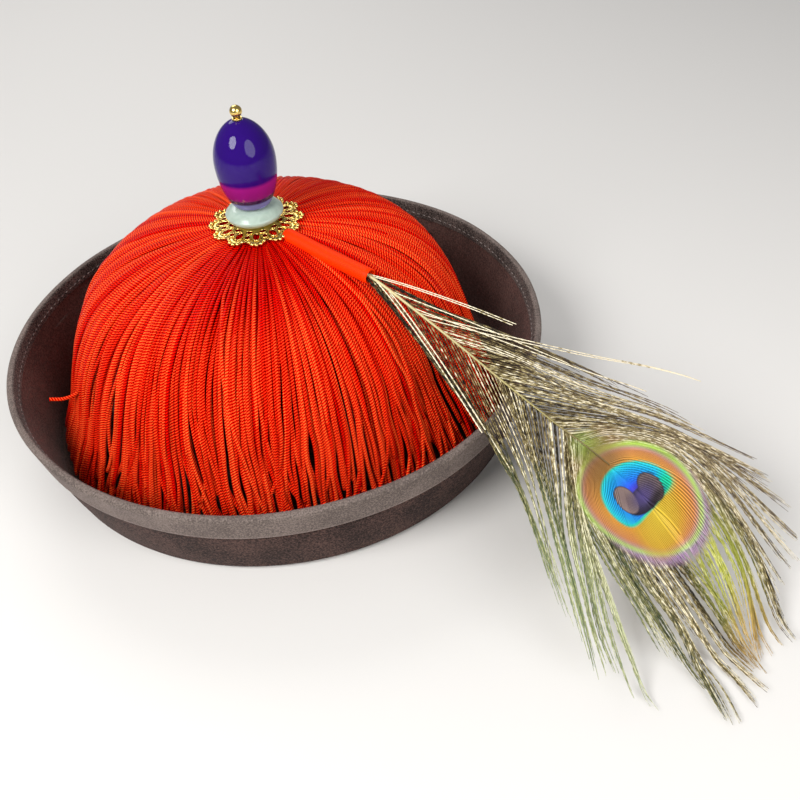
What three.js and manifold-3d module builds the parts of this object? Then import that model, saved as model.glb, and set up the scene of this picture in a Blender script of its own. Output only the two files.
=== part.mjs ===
// A winter court hat at life size, in millimetres, +Z up, with the wearer's front along -Y.
// A felt crown stands in an upturned felt brim, under a tassel of red cords. The finial is pinned
// through the top of the crown, and a peacock plume leaves it backwards in a plastic tube.
// The origin is the centre of the head opening, on the surface that the hat stands on.
import * as THREE from "three";
import { mergeVertices } from "three/addons/utils/BufferGeometryUtils.js";
import Module from "manifold-3d";

const wasm = await Module();
wasm.setup();

// Driving dimensions of the felt body
const GAP = 0.3;
const ROUND_SIDES = 36;
const SMALL_SIDES = 12;
const CORNER_TOLERANCE = 1e-4;
const CROWN = { headRadius: 94, felt: 2.5, height: 106.5, shoulder: 18, squareness: 2.5, rows: 6 };
const BRIM = { felt: 2, footRadius: 126, corner: 5, softened: 1.5 };
const RIM = { radius: 140, height: 50, bulge: 0.8 };
const BRIM_ROW_HEIGHTS = [5, 18, 34, 50];
const BINDING = { cloth: 0.8, outside: 15, inside: 6 };

// Driving dimensions of the finial, the heights counted from the surface
const PIN = { radius: 1.2, hole: 1.7, headRadius: 6, headThickness: 1.5, headSeat: 103.1, top: 171 };
const FLOWER = { petals: 12, metal: 0.9 };
const DROOP = { from: 9.6, to: 22.6, high: 114.1, low: 113, power: 1.5 }; // the petals' fall
// The openings of one petal: distance out, turn as a share of a petal, and half sizes of the oval
const FLOWER_OPENINGS = [
  { out: 12.6, turn: -0.5, halfLong: 1.3, halfWide: 1.2 },
  { out: 16.3, turn: 0, halfLong: 2.6, halfWide: 1.6 },
  { out: 16.3, turn: -0.5, halfLong: 1.4, halfWide: 1 },
  { out: 20.6, turn: 0, halfLong: 0.7, halfWide: 1 },
];
// The outline of one petal's beaded tip: turn as a share of a petal, and distance out
const PETAL_TIP = [
  { turn: -0.5, out: 18.8 },
  { turn: -0.4, out: 19.9 },
  { turn: -0.34, out: 21.6 },
  { turn: -0.22, out: 22 },
  { turn: -0.17, out: 21.6 },
  { turn: -0.09, out: 23.2 },
  { turn: 0.09, out: 23.2 },
  { turn: 0.17, out: 21.6 },
  { turn: 0.22, out: 22 },
  { turn: 0.34, out: 21.6 },
  { turn: 0.4, out: 19.9 },
];
const TIP_RELIEF = { from: 21, rise: 0.9 }; // the beads stand higher than the sheet
// The disc's outside from its foot over its edge to its top: distance out and height
const DISC = [
  { out: 10.5, up: 115.4 },
  { out: 13.2, up: 117.2 },
  { out: 14.3, up: 119.2 },
  { out: 13.9, up: 120.4 },
  { out: 10.8, up: 122.8 },
  { out: 5.4, up: 124.1 },
];
const DISC_TOP = 124.3;
const DISC_SIDES = 20;
const BEAD = { radius: 14.8, bottom: 124.7, girth: 146.5, top: 167.2, sides: 20, rows: 5 };
// Where the bead's two curves would reach the axis below and above its girth, and their powers
const BEAD_CURVE = { below: 28, belowPower: 0.5, above: 21.2, abovePower: 0.55 };
const COLLAR = { radius: 2.35, bottom: 167.5, top: 168.3 };
const BALL = { radius: 2.9, centre: 171.3, rows: 6 };

// Driving dimensions of the plume's tube, and the tongue that holds it on the pin
const TUBE = { outside: 3.75, bore: 3, sides: 10, steps: 3, plug: 3 };
const TUBE_ROUTE = [
  { along: 20.5, up: 112.4 },
  { along: 47, up: 109.4 },
  { along: 72.9, up: 107.3 },
];
const TONGUE = { width: 7, thickness: 1.2, bottom: 109.6, eye: 4.5, room: 0.4 };

// The outside of the tassel from the pin's hole to the cord ends: distance out and height
const DRAPE = [
  { out: 2.2, up: 113.5 },
  { out: 14, up: 113.1 },
  { out: 28, up: 111.9 },
  { out: 42, up: 109.8 },
  { out: 58, up: 105.4 },
  { out: 74, up: 97.3 },
  { out: 87, up: 86 },
  { out: 96, up: 72.4 },
  { out: 102, up: 58.5 },
  { out: 107, up: 41.3 },
  { out: 111.5, up: 24 },
  { out: 115, up: 8 },
];
const LEAN = { x: 2.4, y: -3.9 }; // how far the cord ends stand off centre
const LOCKS = { count: 25, columns: 4, outerRows: 8, innerRows: 7, sway: 0.045, roundness: 0.25 };
const CORD_CLEARANCE = 2.5; // kept between the felt dome and the cords over it
// Sections down the drape: how thick the cords lie, and how deep the valleys between locks are
const LOCK_SECTIONS = [
  { share: 0, thickness: 6.4, valley: 0 },
  { share: 0.15, thickness: 6, valley: 0.6 },
  { share: 0.35, thickness: 4.4, valley: 2 },
  { share: 0.6, thickness: 3.4, valley: 2.6 },
  { share: 1, thickness: 2.4, valley: 1.6 },
];
// Where the four columns of one lock end, as shares of the drape, and how ragged these ends are
const COLUMN_ENDS = [
  { end: 0.74, ragged: 0.14 },
  { end: 0.96, ragged: 0.045 },
  { end: 1, ragged: 0.045 },
  { end: 0.96, ragged: 0.045 },
];
const RING = { radius: 2, section: 1 }; // the plain ring that the sheet of cords is shaped from

// The feather's shaft: distance along +Y from the pin, and height
const SHAFT = [
  { along: 48, up: 109.3 },
  { along: 72.9, up: 107.3 },
  { along: 112.5, up: 92.7 },
  { along: 143, up: 79.8 },
  { along: 171.4, up: 68.4 },
  { along: 196.8, up: 59.3 },
  { along: 217.5, up: 48.5 },
  { along: 247.7, up: 26.5 },
];
const SHAFT_SAMPLES = 160;
const QUILL = { root: 1.5, tip: 0.7, sides: 6, steps: 10 };
const VANE = { roll: 0.32, tipHeight: 2.6, softness: 3 };
// A row for each barb that sets the outline: where it leaves the shaft, and its tip along and across
const LOW_SIDE = [
  { root: 75, along: 169, across: -26 },
  { root: 110, along: 206, across: -52 },
  { root: 135, along: 229, across: -64 },
  { root: 152, along: 242, across: -67 },
  { root: 165, along: 265, across: -67 },
  { root: 190, along: 268, across: -39 },
  { root: 205, along: 287, across: -53 },
  { root: 215, along: 293, across: -46 },
  { root: 228, along: 296, across: -27 },
  { root: 240, along: 293, across: -19 },
];
const HIGH_SIDE = [
  { root: 75, along: 138, across: 25 },
  { root: 88, along: 170, across: 26 },
  { root: 100, along: 207, across: 50 },
  { root: 130, along: 245, across: 52 },
  { root: 145, along: 260, across: 50 },
  { root: 160, along: 273, across: 46 },
  { root: 190, along: 287, across: 38 },
  { root: 208, along: 288, across: 28 },
  { root: 225, along: 294, across: 8 },
  { root: 240, along: 294, across: -8 },
];
const BARB = { perSide: 11, sides: 3, steps: 3, width: 8, tipWidth: 2.2, thickness: 0.9, taper: 1.5 };
const BARB_KNEE = { along: 0.46, across: 0.48 }; // where a barb bows, as shares of the way to its tip
const EYE = { along: 216, halfLength: 21, halfWidth: 17.5, thickness: 1.8, sides: 16 };

// Keeps only the positions of a geometry and makes its shared corners one, before it is shaped.
function closed(geometry) {
  geometry.deleteAttribute("normal");
  geometry.deleteAttribute("uv");
  return mergeVertices(geometry, CORNER_TOLERANCE);
}

// Turns a closed geometry into a solid that can be joined and cut.
function solidOf(geometry) {
  const mesh = new wasm.Mesh({
    numProp: 3,
    vertProperties: geometry.getAttribute("position").array,
    triVerts: new Uint32Array(geometry.getIndex().array),
  });
  return new wasm.Manifold(mesh);
}

// Turns a solid back into a geometry.
function geometryOf(solid) {
  const mesh = solid.getMesh();
  const geometry = new THREE.BufferGeometry();
  geometry.setAttribute("position", new THREE.BufferAttribute(mesh.vertProperties, 3));
  geometry.setIndex(new THREE.BufferAttribute(mesh.triVerts, 1));
  return geometry;
}

// Joins solids into one, pair by pair.
function joined(solids) {
  return solids.reduce((whole, solid) => whole.add(solid));
}

// Leaves out the small offcuts that a cut may free.
function largestBody(solid) {
  return solid.decompose().reduce((big, body) => (body.volume() > big.volume() ? body : big));
}

// Gives a number between -1 and 1 that looks random and is the same in every run.
function vary(index, salt) {
  const wave = Math.sin(index * 12.9898 + salt * 78.233) * 43758.5453;
  return 2 * (wave - Math.floor(wave)) - 1;
}

// Turns a profile of (radius, height) points round the Z axis.
function turned(profile, sides = ROUND_SIDES) {
  return closed(new THREE.LatheGeometry(profile, sides)).rotateX(Math.PI / 2);
}

// Moves a line of points sideways, to its left for a positive distance.
function beside(line, distance) {
  return line.map((point, i) => {
    const before = line[Math.max(i - 1, 0)];
    const after = line[Math.min(i + 1, line.length - 1)];
    const into = point.clone().sub(before).normalize();
    const out = after.clone().sub(point).normalize();
    const way = into.add(out).normalize();
    return new THREE.Vector2(point.x - way.y * distance, point.y + way.x * distance);
  });
}

// Closes two lines that run the same way into one loop.
function loop(first, second) {
  return [...first, ...[...second].reverse(), first[0].clone()];
}

// Moves each point of a geometry to where the function sends it.
function shaped(geometry, place) {
  const position = geometry.getAttribute("position");
  const point = new THREE.Vector3();
  for (let i = 0; i < position.count; i++) {
    point.fromBufferAttribute(position, i);
    const moved = place(point);
    position.setXYZ(i, moved.x, moved.y, moved.z);
  }
  return geometry;
}

// The crown's outside from its lower edge to the pin's hole: a straight wall under a squarish dome.
function crownLine() {
  const radius = CROWN.headRadius + CROWN.felt;
  const rise = CROWN.height - CROWN.shoulder;
  const power = 2 / CROWN.squareness;
  const line = [new THREE.Vector2(radius, 0)];
  for (let row = 0; row < CROWN.rows; row++) {
    const turn = (row / CROWN.rows) * (Math.PI / 2);
    const out = radius * Math.cos(turn) ** power;
    line.push(new THREE.Vector2(out, CROWN.shoulder + rise * Math.sin(turn) ** power));
  }
  line.push(new THREE.Vector2(PIN.hole, CROWN.height));
  return line;
}

function crown() {
  const outside = crownLine();
  const inside = beside(outside, CROWN.felt);
  inside[inside.length - 1].set(PIN.hole, CROWN.height - CROWN.felt);
  return turned(loop(outside, inside));
}

// Pushes a point off the crown's dome, where it lies nearer to it than the cords may.
function clearOfCrown(point) {
  const radius = CROWN.headRadius + CROWN.felt + CORD_CLEARANCE;
  const rise = CROWN.height - CROWN.shoulder + CORD_CLEARANCE;
  const high = Math.max(point.z - CROWN.shoulder, 0);
  const out = Math.hypot(point.x, point.y);
  const inside = (out / radius) ** CROWN.squareness + (high / rise) ** CROWN.squareness;
  const push = Math.max(1, inside ** (-1 / CROWN.squareness));
  const up = high > 0 ? CROWN.shoulder + high * push : point.z;
  return new THREE.Vector3(point.x * push, point.y * push, up);
}

// The brim's outside radius at a height.
function flare(height) {
  const share = (height / RIM.height) ** RIM.bulge;
  return BRIM.footRadius + (RIM.radius - BRIM.footRadius) * share;
}

function brimSide(fromHeight) {
  const heights = BRIM_ROW_HEIGHTS.filter((height) => height > fromHeight);
  return [fromHeight, ...heights].map((height) => new THREE.Vector2(flare(height), height));
}

function brim() {
  const innerEdge = CROWN.headRadius + CROWN.felt + GAP;
  const outside = [
    new THREE.Vector2(innerEdge, 0),
    new THREE.Vector2(BRIM.footRadius - BRIM.corner, 0),
    new THREE.Vector2(BRIM.footRadius - BRIM.softened, BRIM.softened),
    ...brimSide(BRIM.corner),
  ];
  return turned(loop(outside, beside(outside, BRIM.felt)));
}

// A strip of cloth folded over the rim, with a long leg outside and a short one inside.
function brimBinding() {
  const near = GAP;
  const far = GAP + BINDING.cloth;
  const longLeg = brimSide(RIM.height - BINDING.outside);
  const shortLeg = brimSide(RIM.height - BINDING.inside);
  const rim = longLeg[longLeg.length - 1];
  const upward = rim.clone().sub(longLeg[longLeg.length - 2]).normalize();
  const inward = new THREE.Vector2(-upward.y, upward.x);
  const overRim = (depth, rise) =>
    rim.clone().addScaledVector(inward, depth).addScaledVector(upward, rise);
  const skin = [
    ...beside(longLeg, -far),
    overRim(0, far),
    overRim(BRIM.felt, far),
    ...beside(shortLeg, BRIM.felt + far).reverse(),
  ];
  const lining = [
    ...beside(longLeg, -near).slice(0, -1),
    overRim(-near, near),
    overRim(BRIM.felt + near, near),
    ...beside(shortLeg, BRIM.felt + near).reverse().slice(1),
  ];
  return turned(loop(skin, lining));
}

const drapeCurve = new THREE.SplineCurve(DRAPE.map((row) => new THREE.Vector2(row.out, row.up)));

// A point on the tassel: round the hat, down the drape as a share of its length, and into it.
function onDrape(angle, share, depth) {
  const at = drapeCurve.getPointAt(THREE.MathUtils.clamp(share, 0, 1));
  const way = drapeCurve.getTangentAt(THREE.MathUtils.clamp(share, 0, 1));
  const out = at.x + way.y * depth;
  const up = at.y - way.x * depth;
  const lean = 1 - up / DRAPE[0].up;
  const x = out * Math.cos(angle) + LEAN.x * lean;
  const y = out * Math.sin(angle) + LEAN.y * lean;
  return clearOfCrown(new THREE.Vector3(x, y, up));
}

// Reads a size between the rows of a table whose first column it is given.
function between(rows, column, value, wanted) {
  const next = Math.max(rows.findIndex((row) => row[column] >= value), 1);
  const [a, b] = [rows[next - 1], rows[next]];
  return THREE.MathUtils.mapLinear(value, a[column], b[column], a[wanted], b[wanted]);
}

// How far down the drape one column of a lock ends. The ends are ragged, so each has its own.
function columnEnd(lock, place) {
  const { end, ragged } = COLUMN_ENDS[place];
  return end - ragged * (0.5 + 0.5 * vary(lock, 1 + place));
}

// The cords as one sheet of locks that hang apart below: a ring whose section runs up the outside
// from the cord ends to the pin's hole, and back down inside.
function cordSheet() {
  const columns = LOCKS.count * LOCKS.columns;
  const rows = LOCKS.outerRows + LOCKS.innerRows;
  const ring = closed(new THREE.TorusGeometry(RING.radius, RING.section, rows, columns));
  return shaped(ring, (point) => {
    const turn = Math.atan2(point.y, point.x);
    const round = Math.atan2(point.z, Math.hypot(point.x, point.y) - RING.radius);
    const column = Math.round((turn / (2 * Math.PI)) * columns + columns) % columns;
    const row = Math.round((round / (2 * Math.PI)) * rows + rows) % rows;
    const lock = Math.floor(column / LOCKS.columns);
    const place = column % LOCKS.columns;
    const outside = row < LOCKS.outerRows;
    const share = outside
      ? 1 - row / (LOCKS.outerRows - 1)
      : (row - LOCKS.outerRows) / (LOCKS.innerRows - 1);
    const down = share * columnEnd(lock, place);
    const thickness = between(LOCK_SECTIONS, "share", down, "thickness");
    const valley = place === 0 ? between(LOCK_SECTIONS, "share", down, "valley") : 0;
    const rounding = place === 2 ? 0 : LOCKS.roundness * thickness * Math.sqrt(down);
    const sway = place === 0 ? 0 : LOCKS.sway * vary(lock, LOCKS.columns + 1) * down * down;
    return onDrape(turn + sway, down, outside ? valley + rounding : thickness);
  });
}

// The tube's middle line, started a little earlier where it is to cut the tube's room.
function tubeCurve(early = 0) {
  return new THREE.CatmullRomCurve3(
    TUBE_ROUTE.map((row, i) => new THREE.Vector3(0, row.along - (i === 0 ? early : 0), row.up)),
  );
}

// A round bar or pipe along the tube's middle line.
function alongTube(radius, bore, early = 0) {
  const section = new THREE.Shape().absarc(0, 0, radius, 0, 2 * Math.PI);
  if (bore > 0) section.holes.push(new THREE.Path().absarc(0, 0, bore, 0, 2 * Math.PI, true));
  const pipe = new THREE.ExtrudeGeometry(section, {
    steps: TUBE.steps,
    curveSegments: TUBE.sides / 2,
    extrudePath: tubeCurve(early),
  });
  return closed(pipe);
}

// The flattened tongue under the flower, with an eye for the pin.
function tongue(extra) {
  const half = TONGUE.width / 2 + extra;
  const reach = TUBE_ROUTE[0].along + TUBE.plug;
  const outline = new THREE.Shape();
  outline.moveTo(half, reach);
  outline.lineTo(-half, reach);
  outline.lineTo(-TONGUE.eye - extra, extra);
  outline.absarc(0, 0, TONGUE.eye + extra, Math.PI, 2 * Math.PI);
  outline.lineTo(TONGUE.eye + extra, extra);
  outline.lineTo(half, reach);
  if (extra === 0) outline.holes.push(new THREE.Path().absarc(0, 0, PIN.hole, 0, 2 * Math.PI, true));
  const plate = new THREE.ExtrudeGeometry(outline, {
    depth: TONGUE.thickness + 2 * extra,
    bevelEnabled: false,
    curveSegments: 6,
  });
  return closed(plate).translate(0, 0, TONGUE.bottom - extra);
}

// The plug that closes the tube's inner end and joins it to the tongue.
function tubePlug() {
  const start = tubeCurve().getPointAt(0);
  const radius = (TUBE.bore + TUBE.outside) / 2;
  const plug = closed(new THREE.CylinderGeometry(radius, radius, TUBE.plug, TUBE.sides));
  return plug.translate(0, start.y + TUBE.plug / 2 + GAP, start.z);
}

function plumeTube() {
  const pipe = solidOf(alongTube(TUBE.outside, TUBE.bore));
  return geometryOf(joined([pipe, solidOf(tubePlug()), solidOf(tongue(0))]));
}

// The room that the cords and the flower leave for the tube and its tongue.
function tubeRoom() {
  const room = solidOf(alongTube(TUBE.outside + 2 * GAP, 0, 2 * GAP));
  return room.add(solidOf(tongue(TONGUE.room)));
}

function tassel() {
  return geometryOf(largestBody(solidOf(cordSheet()).subtract(tubeRoom())));
}

// The height of the flower's underside: a flat hub, and petals that droop with the cords.
function flowerHeight(out) {
  const share = Math.max(0, (out - DROOP.from) / (DROOP.to - DROOP.from));
  return THREE.MathUtils.lerp(DROOP.high, DROOP.low, share ** DROOP.power);
}

function polar(out, angle) {
  return new THREE.Vector2(out * Math.cos(angle), out * Math.sin(angle));
}

// An opening in the flower: an oval centred at a radius, with its long axis pointing out.
function opening(out, angle, halfLong, halfWide) {
  const centre = polar(out, angle);
  const oval = new THREE.EllipseCurve(centre.x, centre.y, halfLong, halfWide, 0, 2 * Math.PI, true, angle);
  return new THREE.Path().setFromPoints(oval.getPoints(5).slice(1));
}

// The finial's base: a pierced metal flower whose petals end in raised beads.
function filigreeBase() {
  const pitch = (2 * Math.PI) / FLOWER.petals;
  const outline = [];
  const holes = [new THREE.Path().absarc(0, 0, PIN.hole, 0, 2 * Math.PI, true)];
  for (let petal = 0; petal < FLOWER.petals; petal++) {
    const angle = (petal + 0.5) * pitch;
    for (const row of PETAL_TIP) outline.push(polar(row.out, angle + row.turn * pitch));
    for (const row of FLOWER_OPENINGS) {
      holes.push(opening(row.out, angle + row.turn * pitch, row.halfLong, row.halfWide));
    }
  }
  const sheet = new THREE.Shape(outline);
  sheet.holes = holes;
  const settings = { depth: FLOWER.metal, bevelEnabled: false, curveSegments: 5 };
  const flower = shaped(closed(new THREE.ExtrudeGeometry(sheet, settings)), (point) => {
    const out = Math.hypot(point.x, point.y);
    const bead = point.z > 0 && out > TIP_RELIEF.from ? TIP_RELIEF.rise : 0;
    return new THREE.Vector3(point.x, point.y, point.z + flowerHeight(out) + bead);
  });
  return geometryOf(largestBody(solidOf(flower).subtract(tubeRoom())));
}

function jadeDisc() {
  const profile = [
    new THREE.Vector2(PIN.hole, DISC[0].up),
    ...DISC.map((row) => new THREE.Vector2(row.out, row.up)),
    new THREE.Vector2(PIN.hole, DISC_TOP),
    new THREE.Vector2(PIN.hole, DISC[0].up),
  ];
  return turned(profile, DISC_SIDES);
}

// The large bead: a cut-off egg with the pin's bore through it.
function finialBead() {
  const profile = [new THREE.Vector2(PIN.hole, BEAD.bottom)];
  for (let row = 0; row <= BEAD.rows; row++) {
    const up = THREE.MathUtils.lerp(BEAD.bottom, BEAD.girth, row / BEAD.rows);
    const share = (BEAD.girth - up) / BEAD_CURVE.below;
    const out = BEAD.radius * (1 - share * share) ** BEAD_CURVE.belowPower;
    profile.push(new THREE.Vector2(out, up));
  }
  for (let row = 1; row <= BEAD.rows; row++) {
    const rise = Math.sin((row / BEAD.rows) * (Math.PI / 2));
    const up = THREE.MathUtils.lerp(BEAD.girth, BEAD.top, rise);
    const share = (up - BEAD.girth) / BEAD_CURVE.above;
    const out = BEAD.radius * (1 - share * share) ** BEAD_CURVE.abovePower;
    profile.push(new THREE.Vector2(out, up));
  }
  profile.push(new THREE.Vector2(PIN.hole, BEAD.top));
  profile.push(new THREE.Vector2(PIN.hole, BEAD.bottom));
  return turned(profile, BEAD.sides);
}

function finialCollar() {
  const profile = [
    new THREE.Vector2(PIN.hole, COLLAR.bottom),
    new THREE.Vector2(COLLAR.radius, COLLAR.bottom),
    new THREE.Vector2(COLLAR.radius, COLLAR.top),
    new THREE.Vector2(PIN.hole, COLLAR.top),
    new THREE.Vector2(PIN.hole, COLLAR.bottom),
  ];
  return turned(profile, SMALL_SIDES);
}

// The ball that ends the pin, drilled from below to take it.
function finialBall() {
  const seat = Math.asin(PIN.hole / BALL.radius);
  const profile = [
    new THREE.Vector2(0, PIN.top + GAP),
    new THREE.Vector2(PIN.hole, PIN.top + GAP),
  ];
  for (let row = 0; row <= BALL.rows; row++) {
    const turn = THREE.MathUtils.lerp(seat, Math.PI, row / BALL.rows);
    const out = row === BALL.rows ? 0 : BALL.radius * Math.sin(turn);
    profile.push(new THREE.Vector2(out, BALL.centre - BALL.radius * Math.cos(turn)));
  }
  return turned(profile, SMALL_SIDES);
}

// The hidden pin, with a flat head inside the crown.
function finialPin() {
  const profile = [
    new THREE.Vector2(0, PIN.headSeat - PIN.headThickness),
    new THREE.Vector2(PIN.headRadius, PIN.headSeat - PIN.headThickness),
    new THREE.Vector2(PIN.headRadius, PIN.headSeat),
    new THREE.Vector2(PIN.radius, PIN.headSeat),
    new THREE.Vector2(PIN.radius, PIN.top),
    new THREE.Vector2(0, PIN.top),
  ];
  return turned(profile, SMALL_SIDES);
}

const shaftCurve = new THREE.SplineCurve(SHAFT.map((row) => new THREE.Vector2(row.along, row.up)));
const shaftPoints = shaftCurve.getPoints(SHAFT_SAMPLES);

// The shaft's height at a distance along it. Past its end it goes on falling at the last slope.
function shaftHeight(along) {
  const found = shaftPoints.findIndex((point) => point.x >= along);
  const next = found < 0 ? SHAFT_SAMPLES : Math.max(found, 1);
  const [a, b] = [shaftPoints[next - 1], shaftPoints[next]];
  return THREE.MathUtils.mapLinear(along, a.x, b.x, a.y, b.y);
}

// The vane's height: it is rolled about the shaft, and its low tips level out over the surface.
function vaneHeight(along, across) {
  const free = shaftHeight(along) + VANE.roll * across - VANE.tipHeight;
  return VANE.tipHeight + (free + Math.sqrt(free * free + VANE.softness ** 2)) / 2;
}

// Where the vane holds a point: along the feather, across it, and off its face.
function onVane(along, across, off) {
  return new THREE.Vector3(-across, along, vaneHeight(along, across) + off);
}

// The tip of the barb that leaves the shaft at a distance, read between the rows of a table.
function barbTip(rows, root) {
  const at = (wanted) => between(rows, "root", root, wanted);
  return new THREE.Vector2(at("along"), at("across"));
}

// A strip of barbs that leaves the shaft and bows out to its tip.
function barb(rows, root) {
  const tip = barbTip(rows, root);
  const start = new THREE.Vector2(root, 0);
  const along = THREE.MathUtils.lerp(root, tip.x, BARB_KNEE.along);
  const knee = new THREE.Vector2(along, tip.y * BARB_KNEE.across);
  const route = new THREE.QuadraticBezierCurve(start, knee, tip);
  const strip = closed(new THREE.CylinderGeometry(1, 1, 1, BARB.sides, BARB.steps));
  return shaped(strip, (point) => {
    const share = 0.5 + point.y;
    const at = route.getPoint(share);
    const way = route.getTangent(share);
    const width = THREE.MathUtils.lerp(BARB.width, BARB.tipWidth, share ** BARB.taper);
    const side = (point.x * width) / 2;
    return onVane(at.x + way.y * side, at.y - way.x * side, (point.z * BARB.thickness) / 2);
  });
}

function quill() {
  const bar = closed(new THREE.CylinderGeometry(1, 1, 1, QUILL.sides, QUILL.steps));
  return shaped(bar, (point) => {
    const share = 0.5 + point.y;
    const along = THREE.MathUtils.lerp(SHAFT[0].along, SHAFT[SHAFT.length - 1].along, share);
    const radius = THREE.MathUtils.lerp(QUILL.root, QUILL.tip, share);
    return new THREE.Vector3(point.x * radius, along, shaftHeight(along) + point.z * radius);
  });
}

// The eye's dense patch, where the barbs lie edge to edge.
function eyePatch() {
  const plate = closed(new THREE.CylinderGeometry(1, 1, EYE.thickness, EYE.sides, 1));
  return shaped(plate, (point) =>
    onVane(EYE.along + point.x * EYE.halfLength, -point.z * EYE.halfWidth, point.y),
  );
}

function feather() {
  const first = LOW_SIDE[0].root;
  const last = LOW_SIDE[LOW_SIDE.length - 1].root;
  const strips = [];
  for (let i = 0; i < BARB.perSide; i++) {
    const root = THREE.MathUtils.lerp(first, last, i / (BARB.perSide - 1));
    strips.push(solidOf(barb(LOW_SIDE, root)), solidOf(barb(HIGH_SIDE, root)));
  }
  return geometryOf(joined([solidOf(quill()), solidOf(eyePatch()), ...strips]));
}

function material(color, roughness, metalness = 0) {
  return new THREE.MeshStandardMaterial({ color, roughness, metalness });
}

const FINISH = {
  felt: material(0x2b2625, 0.95),
  binding: material(0x453f3c, 0.9),
  cord: material(0xe01b0c, 0.6),
  gold: material(0xd6b84a, 0.3, 1),
  jade: material(0xc4d8cf, 0.35),
  glass: material(0x1d10a8, 0.08),
  tube: material(0xff4a08, 0.35),
  plume: material(0x6b6440, 0.7),
};

const PIECES = [
  ["crown", crown, FINISH.felt],
  ["brim", brim, FINISH.felt],
  ["brim_binding", brimBinding, FINISH.binding],
  ["tassel", tassel, FINISH.cord],
  ["filigree_base", filigreeBase, FINISH.gold],
  ["jade_disc", jadeDisc, FINISH.jade],
  ["finial_bead", finialBead, FINISH.glass],
  ["finial_collar", finialCollar, FINISH.gold],
  ["finial_ball", finialBall, FINISH.gold],
  ["finial_pin", finialPin, FINISH.gold],
  ["plume_tube", plumeTube, FINISH.tube],
  ["feather", feather, FINISH.plume],
];

const hat = new THREE.Group();
for (const [name, make, finish] of PIECES) {
  const mesh = new THREE.Mesh(make(), finish);
  mesh.name = name;
  hat.add(mesh);
}

export default hat;
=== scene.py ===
"""A winter court hat: a felt bowl, a dome of twisted cords, a glass finial and a peacock plume.

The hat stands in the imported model's frame, +Z up, its front towards -Y and its plume along +Y.
Sizes are in millimetres, and MM turns them to metres where a mesh is made.
"""

import logging
import math
from collections.abc import Mapping, Sequence
from dataclasses import dataclass
from enum import Enum
from typing import Any

import bmesh
import bpy
import numpy as np
from mathutils import Matrix, Vector, noise


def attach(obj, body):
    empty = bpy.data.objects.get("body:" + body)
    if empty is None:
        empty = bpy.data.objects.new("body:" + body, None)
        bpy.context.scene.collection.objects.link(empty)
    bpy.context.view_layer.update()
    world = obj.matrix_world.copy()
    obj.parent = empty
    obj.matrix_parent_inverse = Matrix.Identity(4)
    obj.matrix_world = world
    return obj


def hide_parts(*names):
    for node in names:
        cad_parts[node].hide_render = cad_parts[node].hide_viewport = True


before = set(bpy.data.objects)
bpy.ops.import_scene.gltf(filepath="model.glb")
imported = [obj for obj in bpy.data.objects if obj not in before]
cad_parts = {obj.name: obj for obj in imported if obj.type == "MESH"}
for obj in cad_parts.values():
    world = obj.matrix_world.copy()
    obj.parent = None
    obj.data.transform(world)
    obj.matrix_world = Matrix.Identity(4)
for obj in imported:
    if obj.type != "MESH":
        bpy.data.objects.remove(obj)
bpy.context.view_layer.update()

MM = 0.001
BODY = "root"
SEED = 20
FULL_TURN = 2 * math.pi
GOLDEN_TURN = math.pi * (3 - math.sqrt(5))
SHARP_EDGE = math.radians(50)
CURVE_STEPS = 24

log = logging.getLogger("hat")

Profile = Sequence[tuple[float, float]]
Stops = Sequence[tuple[float, str]]
Shape = bmesh.types.BMesh
Tree = bpy.types.NodeTree
Socket = bpy.types.NodeSocket
Random = np.random.Generator


def linear(colour: str) -> tuple[float, float, float, float]:
    """Turns an sRGB colour into the linear one that a shader takes.

    Args:
        colour: The colour as a hex string such as "#C9D9D3".

    Returns:
        Red, green, blue and an alpha of 1.
    """
    shares = [int(colour[i : i + 2], 16) / 255 for i in (1, 3, 5)]
    red, green, blue = (s / 12.92 if s <= 0.04045 else ((s + 0.055) / 1.055) ** 2.4 for s in shares)
    return red, green, blue, 1.0


def fill(tree: Tree, node: bpy.types.Node, inputs: Mapping[Any, Any]) -> None:
    """Gives a node's inputs their values and links.

    Args:
        tree: The node tree that holds the node.
        node: The node.
        inputs: What each input takes: a value, a hex colour, an output, or a node for its first one.
    """
    for name, value in inputs.items():
        if isinstance(value, bpy.types.Node):
            value = value.outputs[0]
        if isinstance(value, Socket):
            tree.links.new(value, node.inputs[name])
        else:
            node.inputs[name].default_value = linear(value) if isinstance(value, str) else value


def add_node(
    tree: Tree, kind: str, inputs: Mapping[Any, Any] | None = None, stops: Stops = (), **settings: Any
) -> bpy.types.Node:
    """Adds one node with its settings and links.

    Args:
        tree: The material's node tree.
        kind: The node's class name after ShaderNode.
        inputs: What each input takes, as for fill.
        stops: For a colour ramp, each stop's place and its colour in hex.
        **settings: The node's own properties.

    Returns:
        The new node.
    """
    node = tree.nodes.new("ShaderNode" + kind)
    for name, value in settings.items():
        setattr(node, name, value)
    fill(tree, node, inputs or {})
    for i, (place, colour) in enumerate(stops):
        ramp = node.color_ramp.elements
        stop = ramp[i] if i < 2 else ramp.new(place)
        stop.position = place
        stop.color = linear(colour)
    return node


def add_object(name: str, data: bpy.types.ID) -> bpy.types.Object:
    """Makes an object of its data and links it to the scene.

    Args:
        name: The object's name.
        data: Its mesh, light or camera.

    Returns:
        The new object.
    """
    made = bpy.data.objects.new(name, data)
    bpy.context.scene.collection.objects.link(made)
    return made


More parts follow.
